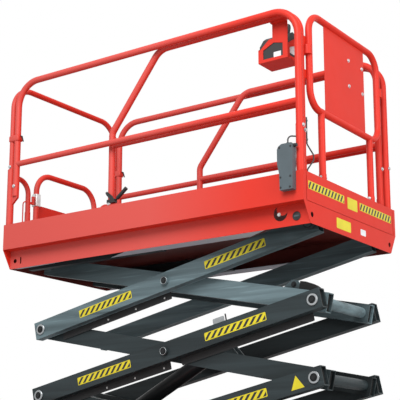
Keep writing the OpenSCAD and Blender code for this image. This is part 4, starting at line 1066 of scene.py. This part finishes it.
class LIFT_OT_gate_hardware(bpy.types.Operator):
    """Plated hinge sleeves on the gate and its latch"""

    bl_idname = "lift.gate_hardware"
    bl_label = "Gate hardware"

    def execute(self, context):
        low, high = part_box("gate")
        bm = bmesh.new()
        for z, tall in ((0.004, 0.072), (0.172, 0.086)):
            foot = TOE_Z + z
            rounded_box(bm, (low.x - 0.002, -0.316, foot), (high.x + 0.002, -0.272, foot + tall), 0.004)
        keep("gate_hinge_sleeves", bm, "entry_gate", "zinc")
        bm = bmesh.new()
        rounded_box(bm, (low.x - 0.003, 0.270, TOE_Z + 0.150), (high.x + 0.003, 0.312, TOE_Z + 0.235), 0.005)
        keep("gate_latch", bm, "entry_gate", "black")
        return {"FINISHED"}


class LIFT_OT_wheel_hardware(bpy.types.Operator):
    """Lug nuts, hub nuts and sidewall rings of the wheels"""

    bl_idname = "lift.wheel_hardware"
    bl_label = "Wheel hardware"

    def execute(self, context):
        for corner, side in (("fr", -1), ("fl", 1), ("rr", -1), ("rl", 1)):
            body = "wheel_" + corner
            out = (0, side, 0)
            low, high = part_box("tyre_" + corner)
            rim_low, rim_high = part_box("rim_" + corner)
            face = rim_high.y if side > 0 else rim_low.y
            centre = (low + high) / 2
            circle, nuts = 0.043, []
            for i in range(5):
                angle = math.radians(72 * i + 36)
                spot = (centre.x + circle * math.cos(angle), face, centre.z + circle * math.sin(angle))
                nuts.append((spot, out))
            grow("lug_nuts_" + body, "bolt", nuts, body, "chrome", LUG_NUT)
            wall = (centre.x, side * (abs(centre.y) + 0.0595), centre.z)
            for name, radius in (("inner", 0.142), ("outer", 0.160)):
                label = "sidewall_%s_ring_%s" % (name, body)
                grow(label, "ring", [(wall, out)], body, "rubber", (radius, 0.004, 0.002))
            hub = [(0.034, 0.0), (0.034, 0.004), (0.029, 0.009), (0.020, 0.010)]
            turnings("hub_nut_" + body, [(hub, (centre.x, face, centre.z), out)], body, "steel", 6, 20)
        return {"FINISHED"}


class LIFT_OT_tray_details(bpy.types.Operator):
    """Vents, latches and hazard bands on the swing-out trays"""

    bl_idname = "lift.tray_details"
    bl_label = "Tray details"

    def execute(self, context):
        vents = [(x, 0.430 + 0.022 * i) for x in (-0.19, 0.19) for i in range(6)]
        slot = rounded_outline(0.150, 0.010, 0.0049)
        band = rounded_outline(0.300, 0.048, 0.006)
        latch = rounded_outline(0.080, 0.120, 0.010)
        latch_x = -0.430
        for body, side in (("door_right", -1), ("door_left", 1)):
            across, y = (-side, 0, 0), side * BASE_HALF
            slots = [(slot, facing((x, y, z), across, UP)) for x, z in vents]
            plates("tray_vents_" + body, slots, 0.0008, body, "black")
            bm = bmesh.new()
            for x, z in vents:
                swept(bm, [(x + step, y, z + 0.0065) for step in (-0.072, 0.0, 0.072)], 0.0042, 10)
            keep("tray_vent_lips_" + body, bm, body, "red")
            middle = facing((latch_x, y, 0.400), across, UP)
            plates("tray_latch_plate_" + body, [(latch, middle)], 0.003, body, "black")
            bm = bmesh.new()
            out, bow = side * (BASE_HALF + 0.002), side * (BASE_HALF + 0.016)
            bend = ((out, 0.360), (bow, 0.366), (bow, 0.434), (out, 0.440))
            swept(bm, [(latch_x, *place) for place in bend], 0.005)
            keep("tray_handle_" + body, bm, body, "steel")
            bands = [(band, facing((x, y, 0.205), across, UP)) for x in (-0.320, 0.320)]
            plates("tray_hazard_bands_" + body, bands, 0.0006, body, "hazard")
        return {"FINISHED"}


class LIFT_OT_ground_controls(bpy.types.Operator):
    """Stop button, key switch, levers and blank gauge on the ground panel"""

    bl_idname = "lift.ground_controls"
    bl_label = "Ground controls"

    def execute(self, context):
        low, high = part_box("ground_panel")
        face = low.x + 0.008
        mid_y = (low.y + high.y) / 2
        plate = facing((face, mid_y, (low.z + high.z) / 2), RIGHT, UP)
        plates("ground_panel_face", [(rounded_outline(0.124, 0.154, 0.004), plate)], 0.001, "chassis", "box")
        stop = (face, mid_y - 0.032, high.z - 0.062)
        collar = [(0.025, 0.0), (0.025, 0.004), (0.022, 0.006)]
        turnings("ground_stop_collar", [(collar, stop, BACKWARD)], "chassis", "yellow")
        cap = [(0.011, 0.004), (0.011, 0.014), (0.019, 0.016), (0.020, 0.022), (0.016, 0.027),
               (0.006, 0.029)]
        turnings("ground_stop_button", [(cap, stop, BACKWARD)], "chassis", "stop")
        bm = bmesh.new()
        barrel = [(0.014, 0.0), (0.014, 0.005), (0.011, 0.007), (0.004, 0.007)]
        y, z = mid_y + 0.034, high.z - 0.062
        turned(bm, barrel, (face, y, z), BACKWARD)
        rounded_box(bm, (face - 0.018, y - 0.0015, z - 0.009), (face - 0.006, y + 0.0015, z + 0.009), 0.001)
        keep("ground_key_switch", bm, "chassis", "steel")
        lever = [(0.009, 0.0), (0.009, 0.004), (0.004, 0.005), (0.0035, 0.018), (0.0045, 0.022),
                 (0.002, 0.024)]
        levers = [(lever, (face, mid_y + y, low.z + 0.055), BACKWARD) for y in (-0.034, 0.034)]
        turnings("ground_levers", levers, "chassis", "chrome", 20)
        gauge = facing((face - 0.001, mid_y, low.z + 0.094), RIGHT, UP)
        plates("ground_gauge", [(rounded_outline(0.050, 0.026, 0.004), gauge)], 0.002, "chassis", "black")
        return {"FINISHED"}


class LIFT_OT_stage(bpy.types.Operator):
    """Camera, floor, lamps and world"""

    bl_idname = "lift.stage"
    bl_label = "Stage"

    def execute(self, context):
        stage = settings()[2]
        scene = context.scene
        scene.view_settings.view_transform = "Standard"
        self.camera(scene, stage)
        self.floor(scene)
        self.world(scene)
        self.lamps(scene, stage)
        return {"FINISHED"}

    def place(self, scene, name, data, location, ahead):
        thing = bpy.data.objects.new(name, data)
        scene.collection.objects.link(thing)
        thing.location = location
        thing.rotation_mode = "QUATERNION"
        thing.rotation_quaternion = ahead.to_track_quat("-Z", "Y")
        return thing

    def camera(self, scene, stage):
        data = bpy.data.cameras.new("photo_camera")
        data.lens = stage.lens
        data.sensor_width = 36.0
        data.shift_y = stage.shift
        data.clip_end = 200.0
        yaw, pitch = math.radians(35.3355), math.radians(12.5)
        ahead = Vector((-math.sin(yaw) * math.cos(pitch), math.cos(yaw) * math.cos(pitch), math.sin(pitch)))
        scene.camera = self.place(scene, "photo_camera", data, (4.0387, -5.5873, TOE_Z - 1.6855), ahead)

    def floor(self, scene):
        mesh = bpy.data.meshes.new("studio_floor")
        half = 40.0
        corners = [(-half, -half, 0), (half, -half, 0), (half, half, 0), (-half, half, 0)]
        mesh.from_pydata(corners, [], [(0, 1, 2, 3)])
        floor = bpy.data.objects.new("studio_floor", mesh)
        scene.collection.objects.link(floor)
        material, graph, shader = new_material("studio_floor_finish")
        graph.put(shader, {"Base Color": (0.62, 0.62, 0.62, 1), "Roughness": 0.9})
        mesh.materials.append(material)

    def world(self, scene):
        world = bpy.data.worlds.new("studio_world")
        scene.world = world
        world.use_nodes = True
        graph = Graph(world.node_tree)
        graph.nodes.clear()
        white = (1, 1, 1, 1)
        lit = graph.add("ShaderNodeBackground", {"Color": white, "Strength": 0.45})
        seen = graph.add("ShaderNodeBackground", {"Color": white, "Strength": 1.0})
        path = graph.add("ShaderNodeLightPath").outputs
        direct = graph.calc("MAXIMUM", path["Is Camera Ray"], path["Is Glossy Ray"])
        direct = graph.calc("MAXIMUM", direct, path["Is Transmission Ray"])
        mix = graph.add("ShaderNodeMixShader", {"Fac": direct, 1: lit.outputs["Background"],
                                                2: seen.outputs["Background"]})
        graph.add("ShaderNodeOutputWorld", {"Surface": mix.outputs["Shader"]})

    def lamps(self, scene, stage):
        target = Vector((0, 0, 1.6))
        for name, location, power, size in (("key_lamp", (2.0, -5.5, 6.0), stage.key_power, 4.0),
                                            ("fill_lamp", (6.0, -1.0, 3.0), stage.fill_power, 3.5)):
            data = bpy.data.lights.new(name, "AREA")
            data.energy = power
            data.size = size
            self.place(scene, name, data, location, target - Vector(location))


STEPS = (LIFT_OT_stage, LIFT_OT_finishes, LIFT_OT_pin_hardware, LIFT_OT_tube_ends, LIFT_OT_arm_fittings,
         LIFT_OT_arm_decals, LIFT_OT_front_decals, LIFT_OT_floor_tread, LIFT_OT_rail_bolts,
         LIFT_OT_control_details, LIFT_OT_socket_details, LIFT_OT_gate_hardware, LIFT_OT_wheel_hardware,
         LIFT_OT_tray_details, LIFT_OT_ground_controls)


class LIFT_PT_dresser(bpy.types.Panel):
    """Lists the steps"""

    bl_idname = "LIFT_PT_dresser"
    bl_label = "Scissor lift"
    bl_space_type = "VIEW_3D"
    bl_region_type = "UI"
    bl_category = "Lift"

    def draw(self, context):
        for step in STEPS:
            self.layout.operator(step.bl_idname)
        for group in settings():
            for key in group.__annotations__:
                self.layout.prop(group, key)


CLASSES = (PaintSettings, HardwareSettings, StageSettings) + STEPS + (LIFT_PT_dresser,)


def register():
    for cls in CLASSES:
        bpy.utils.register_class(cls)
    bpy.types.Scene.lift_paint = PointerProperty(type=PaintSettings)
    bpy.types.Scene.lift_hardware = PointerProperty(type=HardwareSettings)
    bpy.types.Scene.lift_stage = PointerProperty(type=StageSettings)


def unregister():
    del bpy.types.Scene.lift_paint
    del bpy.types.Scene.lift_hardware
    del bpy.types.Scene.lift_stage
    for cls in reversed(CLASSES):
        bpy.utils.unregister_class(cls)


def main():
    register()
    for step in STEPS:
        group, name = step.bl_idname.split(".")
        getattr(getattr(bpy.ops, group), name)()


if __name__ == "__main__":
    main()
